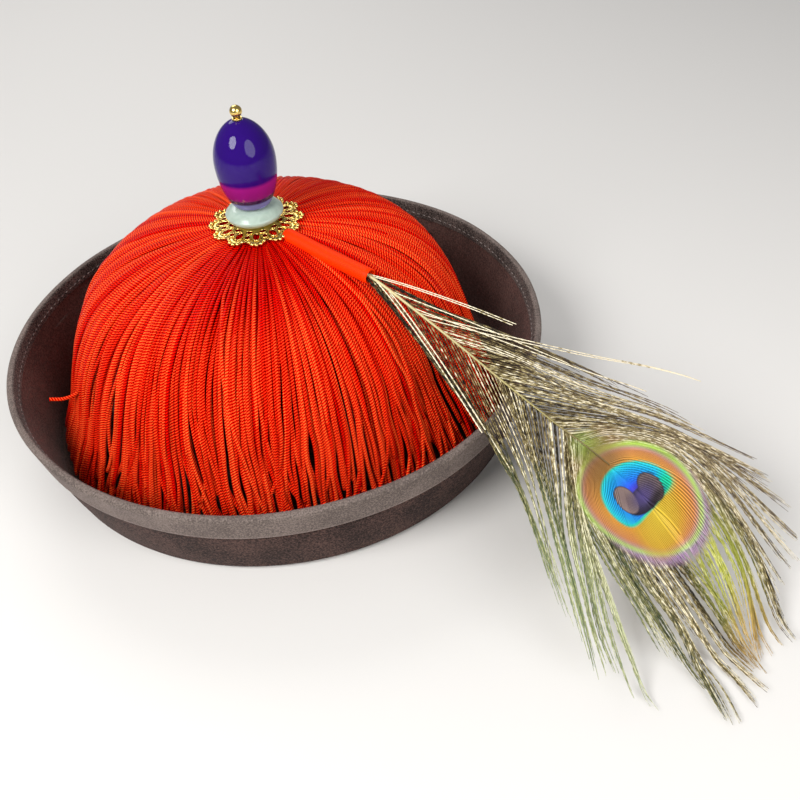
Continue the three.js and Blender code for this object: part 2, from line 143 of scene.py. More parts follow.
def smooth_line(points: Sequence[Sequence[float]], count: int) -> np.ndarray:
    """Runs a smooth curve through a few points.

    Args:
        points: The points that the curve passes through.
        count: How many evenly spaced points to give back.

    Returns:
        An array of count points.
    """
    knots = np.asarray(points, dtype=float)
    padded = np.vstack([2 * knots[0] - knots[1], knots, 2 * knots[-1] - knots[-2]])
    t = np.linspace(0, 1, CURVE_STEPS, endpoint=False)[:, None]
    spans = []
    for a, b, c, d in zip(padded, padded[1:], padded[2:], padded[3:]):
        bend = (2 * a - 5 * b + 4 * c - d) * t**2 + (3 * b - a - 3 * c + d) * t**3
        spans.append(b + 0.5 * ((c - a) * t + bend))
    line = np.vstack([*spans, knots[-1:]])
    far = np.concatenate([[0], np.cumsum(np.linalg.norm(np.diff(line, axis=0), axis=1))])
    wanted = np.linspace(0, far[-1], count)
    return np.stack([np.interp(wanted, far, line[:, i]) for i in range(line.shape[1])], axis=1)


def upright(line: np.ndarray) -> np.ndarray:
    """Stands a line of distances along +Y and heights up in space, at x = 0."""
    return np.stack([0 * line[:, 0], line[:, 0], line[:, 1]], axis=1)


def upward(routes: np.ndarray) -> np.ndarray:
    """Faces every station of some routes straight up."""
    return np.broadcast_to((0.0, 0.0, 1.0), routes.shape)


def unit(vectors: np.ndarray) -> np.ndarray:
    """Scales each vector of an array to a length of one."""
    return vectors / np.maximum(np.linalg.norm(vectors, axis=-1, keepdims=True), 1e-12)


def spun(profile: Profile, steps: int, closed: bool) -> Shape:
    """Spins a profile round the hat's axis.

    Args:
        profile: The profile's points as distance out and height, in millimetres.
        steps: How many steps make the full turn.
        closed: Whether the profile's last point joins its first.

    Returns:
        The spun shape, with its doubles merged and its faces pointing out.
    """
    shape = bmesh.new()
    corners = [shape.verts.new((out * MM, 0, up * MM)) for out, up in profile]
    pairs = list(zip(corners, corners[1:]))
    if closed:
        pairs.append((corners[-1], corners[0]))
    edges = [shape.edges.new(pair) for pair in pairs]
    bmesh.ops.spin(
        shape,
        geom=[*corners, *edges],
        cent=(0, 0, 0),
        axis=(0, 0, 1),
        dvec=(0, 0, 0),
        angle=FULL_TURN,
        steps=steps,
        use_merge=True,
    )
    bmesh.ops.remove_doubles(shape, verts=shape.verts, dist=MM * 0.01)
    bmesh.ops.recalc_face_normals(shape, faces=shape.faces)
    return shape


def soften(shape: Shape, width: float, segments: int) -> None:
    """Rounds the sharp edges of a shape.

    Args:
        shape: The shape to change.
        width: How far the rounding reaches, in millimetres.
        segments: How many faces make the rounding.
    """
    bmesh.ops.bevel(
        shape,
        geom=[e for e in shape.edges if len(e.link_faces) == 2 and e.calc_face_angle(0) > SHARP_EDGE],
        offset=width * MM,
        segments=segments,
        affect="EDGES",
        profile=0.5,
        material=-1,
        clamp_overlap=True,
    )


def swept(
    route: Sequence[np.ndarray], radii: Sequence[float], sides: int, ways: Sequence[np.ndarray] | None = None
) -> Shape:
    """Draws a round section along a route and caps both ends.

    Args:
        route: The section's centres, in millimetres.
        radii: The radius at each centre, in millimetres.
        sides: How many sides the section has.
        ways: Which way each section faces, or None to face along the route.

    Returns:
        The closed shape, with its faces pointing out.
    """
    if ways is None:
        ways = unit(np.gradient(route, axis=0))
    shape = bmesh.new()
    ring: list[bmesh.types.BMEdge] = []
    previous = Matrix.Identity(4)
    for point, way, radius in zip(route, ways, radii):
        turn = Vector(way).to_track_quat("Z", "Y").to_matrix().to_4x4()
        place = Matrix.Translation(Vector(point) * MM) @ turn @ Matrix.Scale(radius * MM, 4)
        if not ring:
            made = bmesh.ops.create_circle(shape, segments=sides, radius=1, cap_ends=True, matrix=place)
            ring = list({edge for vert in made["verts"] for edge in vert.link_edges})
        else:
            grown = bmesh.ops.extrude_edge_only(shape, edges=ring)["geom"]
            verts = {item for item in grown if isinstance(item, bmesh.types.BMVert)}
            edges = [item for item in grown if isinstance(item, bmesh.types.BMEdge)]
            ring = [edge for edge in edges if verts.issuperset(edge.verts)]
            bmesh.ops.transform(shape, matrix=place @ previous.inverted(), verts=list(verts))
        previous = place
    bmesh.ops.contextual_create(shape, geom=ring)
    bmesh.ops.recalc_face_normals(shape, faces=shape.faces)
    return shape


def as_mesh(shape: Shape, name: str) -> bpy.types.Mesh:
    """Turns a finished shape into a smooth mesh and frees the shape.

    Args:
        shape: The finished shape.
        name: The mesh's name.

    Returns:
        The mesh.
    """
    mesh = bpy.data.meshes.new(name)
    shape.to_mesh(mesh)
    shape.free()
    mesh.shade_smooth()
    return mesh


@dataclass
class StrandField:
    """Many thin strands with an oval section, joined in one mesh from arrays.

    Attributes:
        routes: The stations' places, strand by strand, in millimetres.
        faces: Which way each station's flat side faces.
        half_widths: Half the section's width at each station, in millimetres.
        half_depths: Half the section's depth at each station, in millimetres.
        sides: How many sides a section has.
    """

    routes: np.ndarray
    faces: np.ndarray
    half_widths: np.ndarray
    half_depths: np.ndarray
    sides: int

    def rings(self) -> np.ndarray:
        """Works out the corners of every section, in metres.

        Returns:
            The corners by strand, station and side.
        """
        ways = unit(np.gradient(self.routes, axis=1))
        across = unit(np.cross(ways, self.faces))
        lift = np.cross(across, ways)
        turns = np.arange(self.sides) * FULL_TURN / self.sides
        wide = self.half_widths[..., None, None] * np.cos(turns)[:, None] * across[:, :, None, :]
        deep = self.half_depths[..., None, None] * np.sin(turns)[:, None] * lift[:, :, None, :]
        return (self.routes[:, :, None, :] + wide + deep) * MM

    def lay(self) -> np.ndarray:
        """Works out the UV map that runs round each strand, 0 to 1, and along it, in metres.

        Returns:
            The coordinates by strand, station, side and corner.
        """
        steps = np.linalg.norm(np.diff(self.routes, axis=1), axis=2)
        far = np.pad(np.cumsum(steps, axis=1), ((0, 0), (1, 0))) * MM
        turn = np.arange(self.sides + 1) / self.sides
        lay = np.zeros((*steps.shape, self.sides, 4, 2))
        lay[..., 0] = np.stack([turn[:-1], turn[:-1], turn[1:], turn[1:]], axis=-1)
        lay[..., 1] = np.stack([far[:, :-1], far[:, 1:], far[:, 1:], far[:, :-1]], axis=-1)[:, :, None]
        return lay

    def mesh(
        self, name: str, tone: np.ndarray | None = None, chart: np.ndarray | None = None
    ) -> bpy.types.Mesh:
        """Builds the joined mesh.

        Args:
            name: The mesh's name.
            tone: How light each station is, for an attribute named "tone".
            chart: For each station, the two coordinates of a second UV map named "chart".

        Returns:
            The mesh, with its first UV map named "lay".
        """
        strands, stations = self.routes.shape[:2]
        corners = self.rings().reshape(-1, 3)
        index = np.arange(len(corners)).reshape(strands, stations, self.sides)
        beside = np.roll(index, -1, axis=2)
        walls = np.stack([index[:, :-1], index[:, 1:], beside[:, 1:], beside[:, :-1]], axis=-1)
        caps = [*index[:, 0].tolist(), *index[:, -1, ::-1].tolist()]
        mesh = bpy.data.meshes.new(name)
        mesh.from_pydata(corners, [], [*walls.reshape(-1, 4).tolist(), *caps])
        mesh.shade_smooth()

        lay = self.lay().reshape(-1, 2)
        flat = np.zeros((len(mesh.loops), 2))
        flat[: len(lay)] = lay
        mesh.uv_layers.new(name="lay").data.foreach_set("uv", flat.ravel())
        if chart is not None:
            spread = np.repeat(chart.reshape(-1, 2), self.sides, axis=0)
            loops = np.zeros(len(mesh.loops), dtype=np.int32)
            mesh.loops.foreach_get("vertex_index", loops)
            mesh.uv_layers.new(name="chart").data.foreach_set("uv", spread[loops].ravel())
        if tone is not None:
            full = np.repeat(tone, self.sides).astype(np.float32)
            mesh.attributes.new("tone", "FLOAT", "POINT").data.foreach_set("value", full)
        return mesh


@dataclass(frozen=True)
class Finish:
    """What every finish has.

    Attributes:
        name: The material's common name.
        slot: The record's material slot; not used.
    """

    name: str
    slot: str

    def paint(self, tree: Tree) -> dict[str, Any]:
        """Adds the finish's own nodes.

        Args:
            tree: The material's node tree.

        Returns:
            What the shader's inputs take.
        """
        raise NotImplementedError

    def material(self) -> bpy.types.Material:
        """Builds the material once and gives it back after that.

        Returns:
            The material, ready to be put on a mesh.
        """
        made = bpy.data.materials.get(self.name)
        if made is None:
            made = bpy.data.materials.new(self.name)
            made.use_nodes = True
            tree = made.node_tree
            fill(tree, tree.nodes["Principled BSDF"], self.paint(tree))
        return made


@dataclass(frozen=True)
class MattePaper(Finish):
    """Plain pale paper, which keeps the floor quiet."""

    def paint(self, tree: Tree) -> dict[str, Any]:
        """Gives the paper's one colour."""
        return {"Base Color": "#D9D6D2", "Roughness": 0.8}


@dataclass(frozen=True)
class PressedFelt(Finish):
    """Wool felt, pressed to shape: matte charcoal, with paler fibres lying over it.

    Attributes:
        ground: The colour between the fibres.
        fibre: The colour of the fibres on top.
        grain: The width of a tuft of fibres, in millimetres.
        nap: How strongly the nap shines where it is seen edge on.
        patch: The width of a patch of even tone, in millimetres.
    """

    ground: str = "#120C0B"
    fibre: str = "#563F39"
    grain: float = 1.0
    nap: float = 0.18
    patch: float = 22.0

    def paint(self, tree: Tree) -> dict[str, Any]:
        """Lays a fine fleck over slow patches, raises the fibres, and pales them by the painted light that a
        mesh holds in an attribute.

        Args:
            tree: The material's node tree.

        Returns:
            What the shader's inputs take.
        """
        place = add_node(tree, "TexCoord").outputs["Object"]
        tufts = {"Vector": place, "Scale": 1 / (self.grain * MM), "Detail": 3.0, "Roughness": 0.7}
        fleck = add_node(tree, "TexNoise", tufts)
        slow = {"Vector": place, "Scale": 1 / (self.patch * MM), "Detail": 2.0}
        patch = add_node(tree, "TexNoise", slow)
        both = add_node(tree, "Math", {0: patch, 1: 0.3, 2: fleck}, operation="MULTIPLY_ADD")
        colour = add_node(tree, "ValToRGB", {0: both}, [(0.55, self.ground), (0.8, self.fibre)])
        # Painted light and painted sheen: the mesh's attribute screens the fibre colour over the felt
        painted_light = add_node(tree, "Attribute", attribute_name="painted_light").outputs["Fac"]
        over = {0: painted_light, 6: colour, 7: self.fibre}
        return {
            "Base Color": add_node(tree, "Mix", over, data_type="RGBA", blend_type="SCREEN").outputs[2],
            "Normal": add_node(tree, "Bump", {"Height": fleck, "Strength": 0.6, "Distance": 0.4 * MM}),
            "Roughness": 0.95,
            "Specular IOR Level": 0.15,
            "Sheen Weight": self.nap,
            "Sheen Roughness": 0.45,
            "Sheen Tint": "#9A8C88",
        }


@dataclass(frozen=True)
class TwistedRayon(Finish):
    """Twisted rayon cord: silky scarlet, ribbed by its plies, with painted shade in its grooves and painted
    orange highlights on its ribs.

    Attributes:
        groove: The colour down between two plies, darkened as painted shade.
        ply: The colour on a ply.
        crest: The colour of a painted highlight on a ply's crest.
        rib: The distance from one rib to the next along the cord, in millimetres.
        starts: How many plies run round together, which sets the ribs' slant.
    """

    groove: str = "#8C0000"
    ply: str = "#F60600"
    crest: str = "#FF7434"
    rib: float = 1.4
    starts: float = 2.0

    def paint(self, tree: Tree) -> dict[str, Any]:
        """Winds slanting ribs round each cord, with painted shade in the grooves and painted highlights on
        the crests, and varies the tone from cord to cord.

        Args:
            tree: The material's node tree.

        Returns:
            What the shader's inputs take.
        """
        lay = add_node(tree, "SeparateXYZ", {0: add_node(tree, "UVMap", uv_map="lay")}).outputs
        along = add_node(tree, "Math", {0: lay["Y"], 1: self.rib * MM}, operation="DIVIDE")
        wound = add_node(tree, "Math", {0: lay["X"], 1: self.starts, 2: along}, operation="MULTIPLY_ADD")
        angle = add_node(tree, "Math", {0: wound, 1: FULL_TURN}, operation="MULTIPLY")
        wave = add_node(tree, "Math", {0: angle}, operation="SINE")
        scaled = {"operation": "MULTIPLY_ADD", "use_clamp": True}
        height = add_node(tree, "Math", {0: wave, 1: 0.5, 2: 0.5}, **scaled)
        tone = add_node(tree, "Attribute", attribute_name="tone").outputs["Fac"]
        toned = add_node(tree, "Math", {0: height, 1: 0.75, 2: tone}, **scaled)
        # The ramp paints shade into the grooves and highlights onto the crests
        stops = [(0.12, self.groove), (0.42, self.ply), (0.68, self.ply), (0.95, self.crest)]
        return {
            "Base Color": add_node(tree, "ValToRGB", {0: toned}, stops),
            "Normal": add_node(tree, "Bump", {"Height": height, "Strength": 1.0, "Distance": 0.4 * MM}),
            "Roughness": 0.45,
            "Specular IOR Level": 0.15,
            "Specular Tint": "#FF7038",
        }


@dataclass(frozen=True)
class GiltMetal(Finish):
    """Stamped brass with a bright gilt wash: a mirror gold that is a little uneven.

    Attributes:
        gold: The wash's colour.
        patch: The width of a patch of even polish, in millimetres.
    """

    gold: str = "#EACB78"
    patch: float = 2.5

    def paint(self, tree: Tree) -> dict[str, Any]:
        """Varies the polish from patch to patch.

        Args:
            tree: The material's node tree.

        Returns:
            What the shader's inputs take.
        """
        place = add_node(tree, "TexCoord").outputs["Object"]
        patches = {"Vector": place, "Scale": 1 / (self.patch * MM), "Detail": 2.0}
        patch = add_node(tree, "TexNoise", patches)
        return {
            "Base Color": self.gold,
            "Metallic": 1.0,
            "Roughness": add_node(tree, "MapRange", {0: patch, 3: 0.14, 4: 0.32}),
            "Normal": add_node(tree, "Bump", {"Height": patch, "Strength": 0.1, "Distance": 0.2 * MM}),
        }


@dataclass(frozen=True)
class MilkyResin(Finish):
    """Polished resin, cast to look like pale jade: milky, with faint cloudy veins.

    Attributes:
        pale: The colour of the body.
        cloud: The colour of the veins.
        vein: The distance from one vein to the next, in millimetres.
    """

    pale: str = "#A9B9AC"
    cloud: str = "#9EAFA2"
    vein: float = 5.0

    def paint(self, tree: Tree) -> dict[str, Any]:
        """Clouds the colour in soft patches under a clear polish.

        Args:
            tree: The material's node tree.

        Returns:
            What the shader's inputs take.
        """
        place = add_node(tree, "TexCoord").outputs["Object"]
        veins = {"Vector": place, "Scale": 1 / (self.vein * MM), "Detail": 4.0, "Distortion": 1.2}
        stops = [(0.35, self.cloud), (0.6, self.pale)]
        return {
            "Base Color": add_node(tree, "ValToRGB", {0: add_node(tree, "TexNoise", veins)}, stops),
            "Roughness": 0.22,
            "IOR": 1.55,
            "Subsurface Weight": 0.25,
            "Subsurface Radius": (1.0, 1.0, 1.0),
            "Subsurface Scale": 1.5 * MM,
        }


@dataclass(frozen=True)
class TintedGlass(Finish):
    """Pressed glass, tinted right through: clear violet blue with a fire-polished skin.

    Attributes:
        tint: The colour of light that has passed through.
        painted_cord_red: The colour low down, a painted refraction: the red of the cords seen through the
            glass.
        foot: The colour at the foot, a painted refraction: the disc's pale green seen through the glass.
        ring: The dark ring over the foot, a painted refraction: the bead's bottom edge seen through the
            glass.
        span: The heights between which the colours run, in millimetres.
        clear: The heights between which the glass grows less clear, in millimetres.
        wave: The length of a wave in the skin, in millimetres.
    """

    tint: str = "#2A0A6C"
    painted_cord_red: str = "#9A1A7C"
    foot: str = "#8E86CC"
    ring: str = "#3E1650"
    span: tuple[float, float] = (124, 148)
    clear: tuple[float, float] = (128, 142)
    wave: float = 6.0

    def paint(self, tree: Tree) -> dict[str, Any]:
        """Colours the glass by height, with what is seen through it low down painted in, clearer at the foot,
        with the slight waves of pressing.

        Args:
            tree: The material's node tree.

        Returns:
            What the shader's inputs take.
        """
        place = add_node(tree, "TexCoord").outputs["Object"]
        wave = add_node(tree, "TexNoise", {"Vector": place, "Scale": 1 / (self.wave * MM), "Detail": 1.0})
        up = add_node(tree, "SeparateXYZ", {0: place}).outputs["Z"]
        share = add_node(tree, "MapRange", {0: up, 1: self.span[0] * MM, 2: self.span[1] * MM})
        dimming = {0: up, 1: self.clear[0] * MM, 2: self.clear[1] * MM, 3: 0.5, 4: 0.15}
        # Painted refraction: the disc's green, the bead's bottom edge and the cords' red, as seen through the
        # glass
        lower = [(0.17, self.foot), (0.21, self.ring), (0.27, self.ring), (0.32, self.painted_cord_red)]
        stops = [*lower, (0.6, self.painted_cord_red), (0.68, self.tint)]
        return {
            "Base Color": add_node(tree, "ValToRGB", {0: share}, stops),
            "Normal": add_node(tree, "Bump", {"Height": wave, "Strength": 0.12, "Distance": 0.4 * MM}),
            "Roughness": 0.02,
            "IOR": 1.5,
            "Specular IOR Level": 0.16,
            "Transmission Weight": add_node(tree, "MapRange", dimming),
        }


@dataclass(frozen=True)
class MouldedPlastic(Finish):
    """Moulded polyethylene: one bright colour with a waxy satin skin.

    Attributes:
        colour: The plastic's colour.
        ripple: The length of a ripple, in millimetres.
    """

    colour: str = "#FF3400"
    ripple: float = 4.0

    def paint(self, tree: Tree) -> dict[str, Any]:
        """Gives the skin the faint ripple of extruded tube.

        Args:
            tree: The material's node tree.

        Returns:
            What the shader's inputs take.
        """
        place = add_node(tree, "TexCoord").outputs["Object"]
        ripples = {"Vector": place, "Scale": 1 / (self.ripple * MM), "Detail": 2.0}
        ripple = add_node(tree, "TexNoise", ripples)
        return {
            "Base Color": self.colour,
            "Normal": add_node(tree, "Bump", {"Height": ripple, "Strength": 0.15, "Distance": 0.2 * MM}),
            "Roughness": 0.5,
            "Specular IOR Level": 0.08,
            "IOR": 1.5,
            "Subsurface Weight": 0.15,
            "Subsurface Radius": (1.0, 0.3, 0.1),
            "Subsurface Scale": 2 * MM,
        }


@dataclass(frozen=True)
class QuillHorn(Finish):
    """Bare quill: pale horn that darkens towards the feather's eye.

    Attributes:
        span: The distances along +Y between which it darkens, in millimetres.
    """

    span: tuple[float, float] = (80, 200)

    def paint(self, tree: Tree) -> dict[str, Any]:
        """Shades the horn along the feather.

        Args:
            tree: The material's node tree.

        Returns:
            What the shader's inputs take.
        """
        place = add_node(tree, "TexCoord").outputs["Object"]
        along = add_node(tree, "SeparateXYZ", {0: place}).outputs["Y"]
        share = add_node(tree, "MapRange", {0: along, 1: self.span[0] * MM, 2: self.span[1] * MM})
        stops = [(0.0, "#C4B684"), (0.7, "#9C9058"), (0.95, "#6A5A34")]
        return {"Base Color": add_node(tree, "ValToRGB", {0: share}, stops), "Roughness": 0.35, "IOR": 1.54}


@dataclass(frozen=True)
class PeacockBarb(Finish):
    """Peacock barbs: thin keratin that shines bronze and green, and in the eye blue and gold.

    The chart holds each place on the vane, along from the eye's middle and across the shaft, in
    metres.

    Attributes:
        glint: The length of a glint along a barb, in millimetres.
    """

    glint: float = 3.0

    def paint(self, tree: Tree) -> dict[str, Any]:
        """Paints the eye's rings over the barbs' own colours and darkens the barbs' edges with painted shade.

        Args:
            tree: The material's node tree.

        Returns:
            What the shader's inputs take.
        """
        chart = add_node(tree, "UVMap", uv_map="chart").outputs["UV"]
        tone = add_node(tree, "Attribute", attribute_name="tone").outputs["Fac"]
        lay = add_node(tree, "SeparateXYZ", {0: add_node(tree, "UVMap", uv_map="lay")}).outputs
        own = add_node(tree, "CombineXYZ", {"X": lay["Y"], "Y": tone})
        glints = {"Vector": own, "Scale": 1 / (self.glint * MM), "Detail": 2.0}
        glint = add_node(tree, "TexNoise", glints, noise_dimensions="2D")
        lit = add_node(tree, "Math", {0: tone, 1: 0.6, 2: glint}, operation="MULTIPLY_ADD")
        bronze = [(0.48, "#171108"), (0.66, "#564829"), (0.86, "#A89868"), (1.0, "#F4E8C8")]
        layers: Socket = add_node(tree, "ValToRGB", {0: lit}, bronze).outputs[0]
        for patch in EYE_PATCHES:
            layers = patch.over(tree, chart, layers)

        # A third of the way round is a barb's top, darkened at both of its edges by painted shade between the
        # barbs
        walls = add_node(tree, "Math", {0: lay["X"], 1: 3.0}, operation="MULTIPLY")
        ridge = add_node(tree, "Math", {0: walls, 1: 0.5}, operation="PINGPONG")
        shade = add_node(tree, "MapRange", {0: ridge, 1: 0.0, 2: 0.22, 3: 0.42, 4: 1.0})
        under = {0: 1.0, 6: layers, 7: shade}
        edged = add_node(tree, "Mix", under, data_type="RGBA", blend_type="MULTIPLY").outputs[2]
        return {"Base Color": edged, "Roughness": 0.5, "Specular IOR Level": 0.3}


@dataclass(frozen=True)
class EyePatch:
    """One patch of the feather's eye: an oval on the vane with a colour from its middle out.

    Attributes:
        along: The oval's middle along the vane, from the eye's middle, in millimetres.
        across: The oval's middle across the vane, in millimetres.
        half_along: Half its length, in millimetres.
        half_across: Half its width, in millimetres.
        turn: How far its length is turned from the shaft, in degrees.
        colours: The colours from the middle, at 0, to the oval's line, at 1.
        edge: How soft the oval's line is, as a share of its size.
        strength: How much of what is below it the patch covers.
        ends: A straight edge: the way it faces, in degrees, and its distance, in millimetres.
        rounding: How round the straight edge's corners are, as a share of the half width.
    """

    along: float
    across: float
    half_along: float
    half_across: float
    turn: float
    colours: Stops
    edge: float = 0.03
    strength: float = 1.0
    ends: tuple[float, float] | None = None
    rounding: float = 0.5

    def over(self, tree: Tree, chart: Socket, below: Socket) -> Socket:
        """Lays the patch over the colours below it.

        Args:
            tree: The material's node tree.
            chart: The place on the vane, in metres from the eye's middle.
            below: The colour under the patch.

        Returns:
            The colour with the patch on it.
        """
        oval = {
            "Vector": chart,
            "Location": (self.along * MM, self.across * MM, 0),
            "Rotation": (0, 0, math.radians(self.turn)),
            "Scale": (self.half_along * MM, self.half_across * MM, 1),
        }
        place = add_node(tree, "Mapping", oval, vector_type="TEXTURE")
        distance = add_node(tree, "VectorMath", {0: place}, operation="LENGTH").outputs["Value"]
        room = add_node(tree, "Math", {0: 1.0, 1: distance}, operation="SUBTRACT")
        if self.ends:
            turn, reach = math.radians(self.ends[0]), self.ends[1] * MM
            way = (math.cos(turn), math.sin(turn), 0)
            far = add_node(tree, "VectorMath", {0: chart, 1: way}, operation="DOT_PRODUCT").outputs["Value"]
            near = reach - self.half_across * MM
            spare = add_node(tree, "MapRange", {0: far, 1: near, 2: reach, 3: 1.0, 4: 0.0}, clamp=False)
            room = add_node(tree, "Math", {0: room, 1: spare, 2: self.rounding}, operation="SMOOTH_MIN")
        line = {0: room, 1: -self.edge, 2: self.edge, 3: 0.0, 4: self.strength}
        inside = add_node(tree, "MapRange", line)
        colour = add_node(tree, "ValToRGB", {0: distance}, self.colours)
        return add_node(tree, "Mix", {0: inside, 6: below, 7: colour}, data_type="RGBA").outputs[2]


# The blue heart's colours, and the way that its straight edge faces, in degrees
HEART_LINE = -6.1
BLUES = ((0.3, "#3C44EC"), (0.5, "#2070E8"), (0.8, "#10A0DC"), (1.0, "#28D0DC"))

# The eye's patches from the widest in
EYE_PATCHES = (
    EyePatch(15, -58, 60, 26, -14, ((0.0, "#B4C890"), (1.0, "#A4BC80")), 0.5, 0.5),
    EyePatch(20, 48, 90, 26, 12, ((0.0, "#B79C88"), (1.0, "#A08C78")), 0.5, 0.25),
    EyePatch(40, 5, 22, 13, -28, ((0.0, "#CCD24A"), (1.0, "#A8B040")), 0.4, 0.7),
    EyePatch(63, -8, 18, 9, -47, ((0.0, "#E4BC74"), (1.0, "#CCA454")), 0.5, 0.7),
    EyePatch(-23, 0, 9, 7, 0, ((0.0, "#8CC048"), (1.0, "#8AB048")), 0.4, 0.8),
    EyePatch(4.8, 0.2, 27.2, 21.2, 39.5, ((0.8, "#B08CC0"), (1.0, "#A888A4")), 0.05, 0.85),
    EyePatch(0.9, 0.0, 27.6, 20.6, 39.5, ((0.9, "#A8CC3C"), (1.0, "#BCE460")), 0.04, 0.85),
    EyePatch(0.9, -0.4, 26.0, 19.0, 38.6, ((0.7, "#DC9C38"), (0.9, "#D08A50"), (1.0, "#BC9494")), 0.04),
    EyePatch(-18, -2, 9, 13, 20, ((0.0, "#86683F"), (1.0, "#946C40")), 0.5, 0.75),
    EyePatch(9.5, -0.6, 10.8, 14.5, 25, ((0.0, "#DABC36"), (1.0, "#D0A232")), 0.2),
    EyePatch(1.5, 0.3, 18.4, 13.3, 44, ((0.3, "#50DC98"), (1.0, "#18C8A8")), ends=(HEART_LINE, 6.9)),
    EyePatch(1.5, 0.3, 17.8, 12.7, 44, BLUES, ends=(HEART_LINE, 5.9)),
    EyePatch(5.6, 12.6, 3.4, 3.6, 0, ((0.0, "#10D080"), (1.0, "#10D090")), 0.5, 0.8, (HEART_LINE, 6.9)),
    EyePatch(2.3, 0.2, 4.4, 9.6, -12, ((0.0, "#1C1218"), (1.0, "#0C080C")), 0.06),
    EyePatch(1.8, 5.9, 6.1, 5.1, 18, ((0.0, "#54464C"), (0.85, "#6C5C5E"), (1.0, "#140E12")), 0.05),
    EyePatch(-2.9, -6.2, 6.0, 4.2, 2, ((0.0, "#806A68"), (0.88, "#907A74"), (1.0, "#1C1418")), 0.05),
    EyePatch(1.4, 0.2, 4.0, 6.4, -12, ((0.0, "#584A88"), (1.0, "#4C4268")), 0.5, 0.85),
    EyePatch(5.8, 5.0, 1.6, 5.0, -5, ((0.0, "#181014"), (1.0, "#20161C")), 0.6, 0.8),
)


class Tint(Enum):
    """The hat's finishes."""

    FELT = PressedFelt("pressed_wool_felt", "felt")
    BINDING = PressedFelt("brushed_cloth_binding", "binding", "#171311", "#6C605A", 0.8, 0.35)
    THREAD = PressedFelt("dark_sewing_thread", "binding", "#5C5450", "#B0A6A0", 0.5)
    CORD = TwistedRayon("twisted_rayon_cord", "cord")
    GILT = GiltMetal("gilt_brass", "gilt")
    JADE = MilkyResin("milky_resin_jade", "jade")
    GLASS = TintedGlass("tinted_pressed_glass", "bead_glass")
    TUBE = MouldedPlastic("moulded_orange_plastic", "tube_plastic")
    QUILL = QuillHorn("quill_horn", "plume")
    BARB = PeacockBarb("peacock_barbs", "plume")


def put(mesh: bpy.types.Mesh, tint: Tint, *stands_for: str) -> None:
    """Makes a piece of a mesh and hands it to the frame.

    Args:
        mesh: The finished mesh, whose name the piece takes.
        tint: The piece's finish.
        *stands_for: The frame's nodes that the piece replaces.
    """
    piece = add_object(mesh.name, mesh)
    mesh.materials.append(tint.value.material())
    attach(piece, BODY)
    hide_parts(*stands_for)
    log.info("%s: %d faces", piece.name, len(mesh.polygons))


@dataclass
class Studio:
    """The camera of the photograph's view, a pale floor and soft lights.

    Attributes:
        eye: Where the camera stands, in metres.
        heading: The turn of its view from +Y, in degrees.
        tilt: How far it looks down, in degrees.
        roll: How far it leans to one side, in degrees.
        lens: Its focal length, in millimetres.
        sensor: Its sensor's width, in millimetres.
        near: The nearest that it sees, in metres.
        floor_half: Half the floor's width, in metres.
        sky: The colour of the light from all round.
        sky_strength: How strong that light is.
        aim: The place that the lights face, in metres.
        lamps: For each light its name, its side of the hat from +Y towards -X in degrees, its height,
            its distance out and its width in metres, and its power in watts.
    """

    eye: tuple[float, float, float] = (0.2822, 0.3384, 0.3666)
    heading: float = 132
    tilt: float = 40.97
    roll: float = 5.3
    lens: float = 45
    sensor: float = 36
    near: float = 0.01
    floor_half: float = 4
    sky: str = "#E6E8EC"
    sky_strength: float = 0.28
    aim: tuple[float, float, float] = (0, 0, 0.08)
    lamps: Sequence[tuple[str, float, float, float, float, float]] = (
        ("key", -90, 0.85, 0.85, 0.6, 14),
        ("fill", -10, 0.6, 1.0, 0.8, 8),
        ("back", 152, 0.9, 1.0, 0.8, 6),
    )

    def camera(self) -> None:
        """Sets up the camera."""
        data = bpy.data.cameras.new("camera")
        data.lens = self.lens
        data.sensor_width = self.sensor
        data.clip_start = self.near
        camera = add_object("camera", data)
        turn = Matrix.Rotation(math.radians(self.heading), 4, "Z")
        pitch = Matrix.Rotation(math.radians(90 - self.tilt), 4, "X")
        lean = Matrix.Rotation(math.radians(-self.roll), 4, "Z")
        camera.matrix_world = Matrix.Translation(self.eye) @ turn @ pitch @ lean
        bpy.context.scene.camera = camera

    def floor(self) -> None:
        """Lays the pale floor."""
        shape = bmesh.new()
        bmesh.ops.create_grid(shape, x_segments=1, y_segments=1, size=self.floor_half)
        floor = add_object("floor", as_mesh(shape, "floor"))
        floor.data.materials.append(MattePaper("pale_matte_paper", "").material())

    def lights(self) -> None:
        """Hangs the soft round lights and sets the sky."""
        for name, side, height, away, size, power in self.lamps:
            data = bpy.data.lights.new(name, "AREA")
            data.shape = "DISK"
            data.size = size
            data.energy = power
            lamp = add_object(name, data)
            turn = math.radians(side)
            lamp.location = (-away * math.sin(turn), away * math.cos(turn), height)
            towards = Vector(self.aim) - lamp.location
            lamp.rotation_euler = towards.to_track_quat("-Z", "Y").to_euler()
        world = bpy.data.worlds.new("studio")
        world.use_nodes = True
        tree = world.node_tree
        fill(tree, tree.nodes["Background"], {"Color": self.sky, "Strength": self.sky_strength})
        bpy.context.scene.world = world
        bpy.context.scene.view_settings.view_transform = "Standard"

    def build(self) -> None:
        """Builds the studio."""
        self.camera()
        self.floor()
        self.lights()


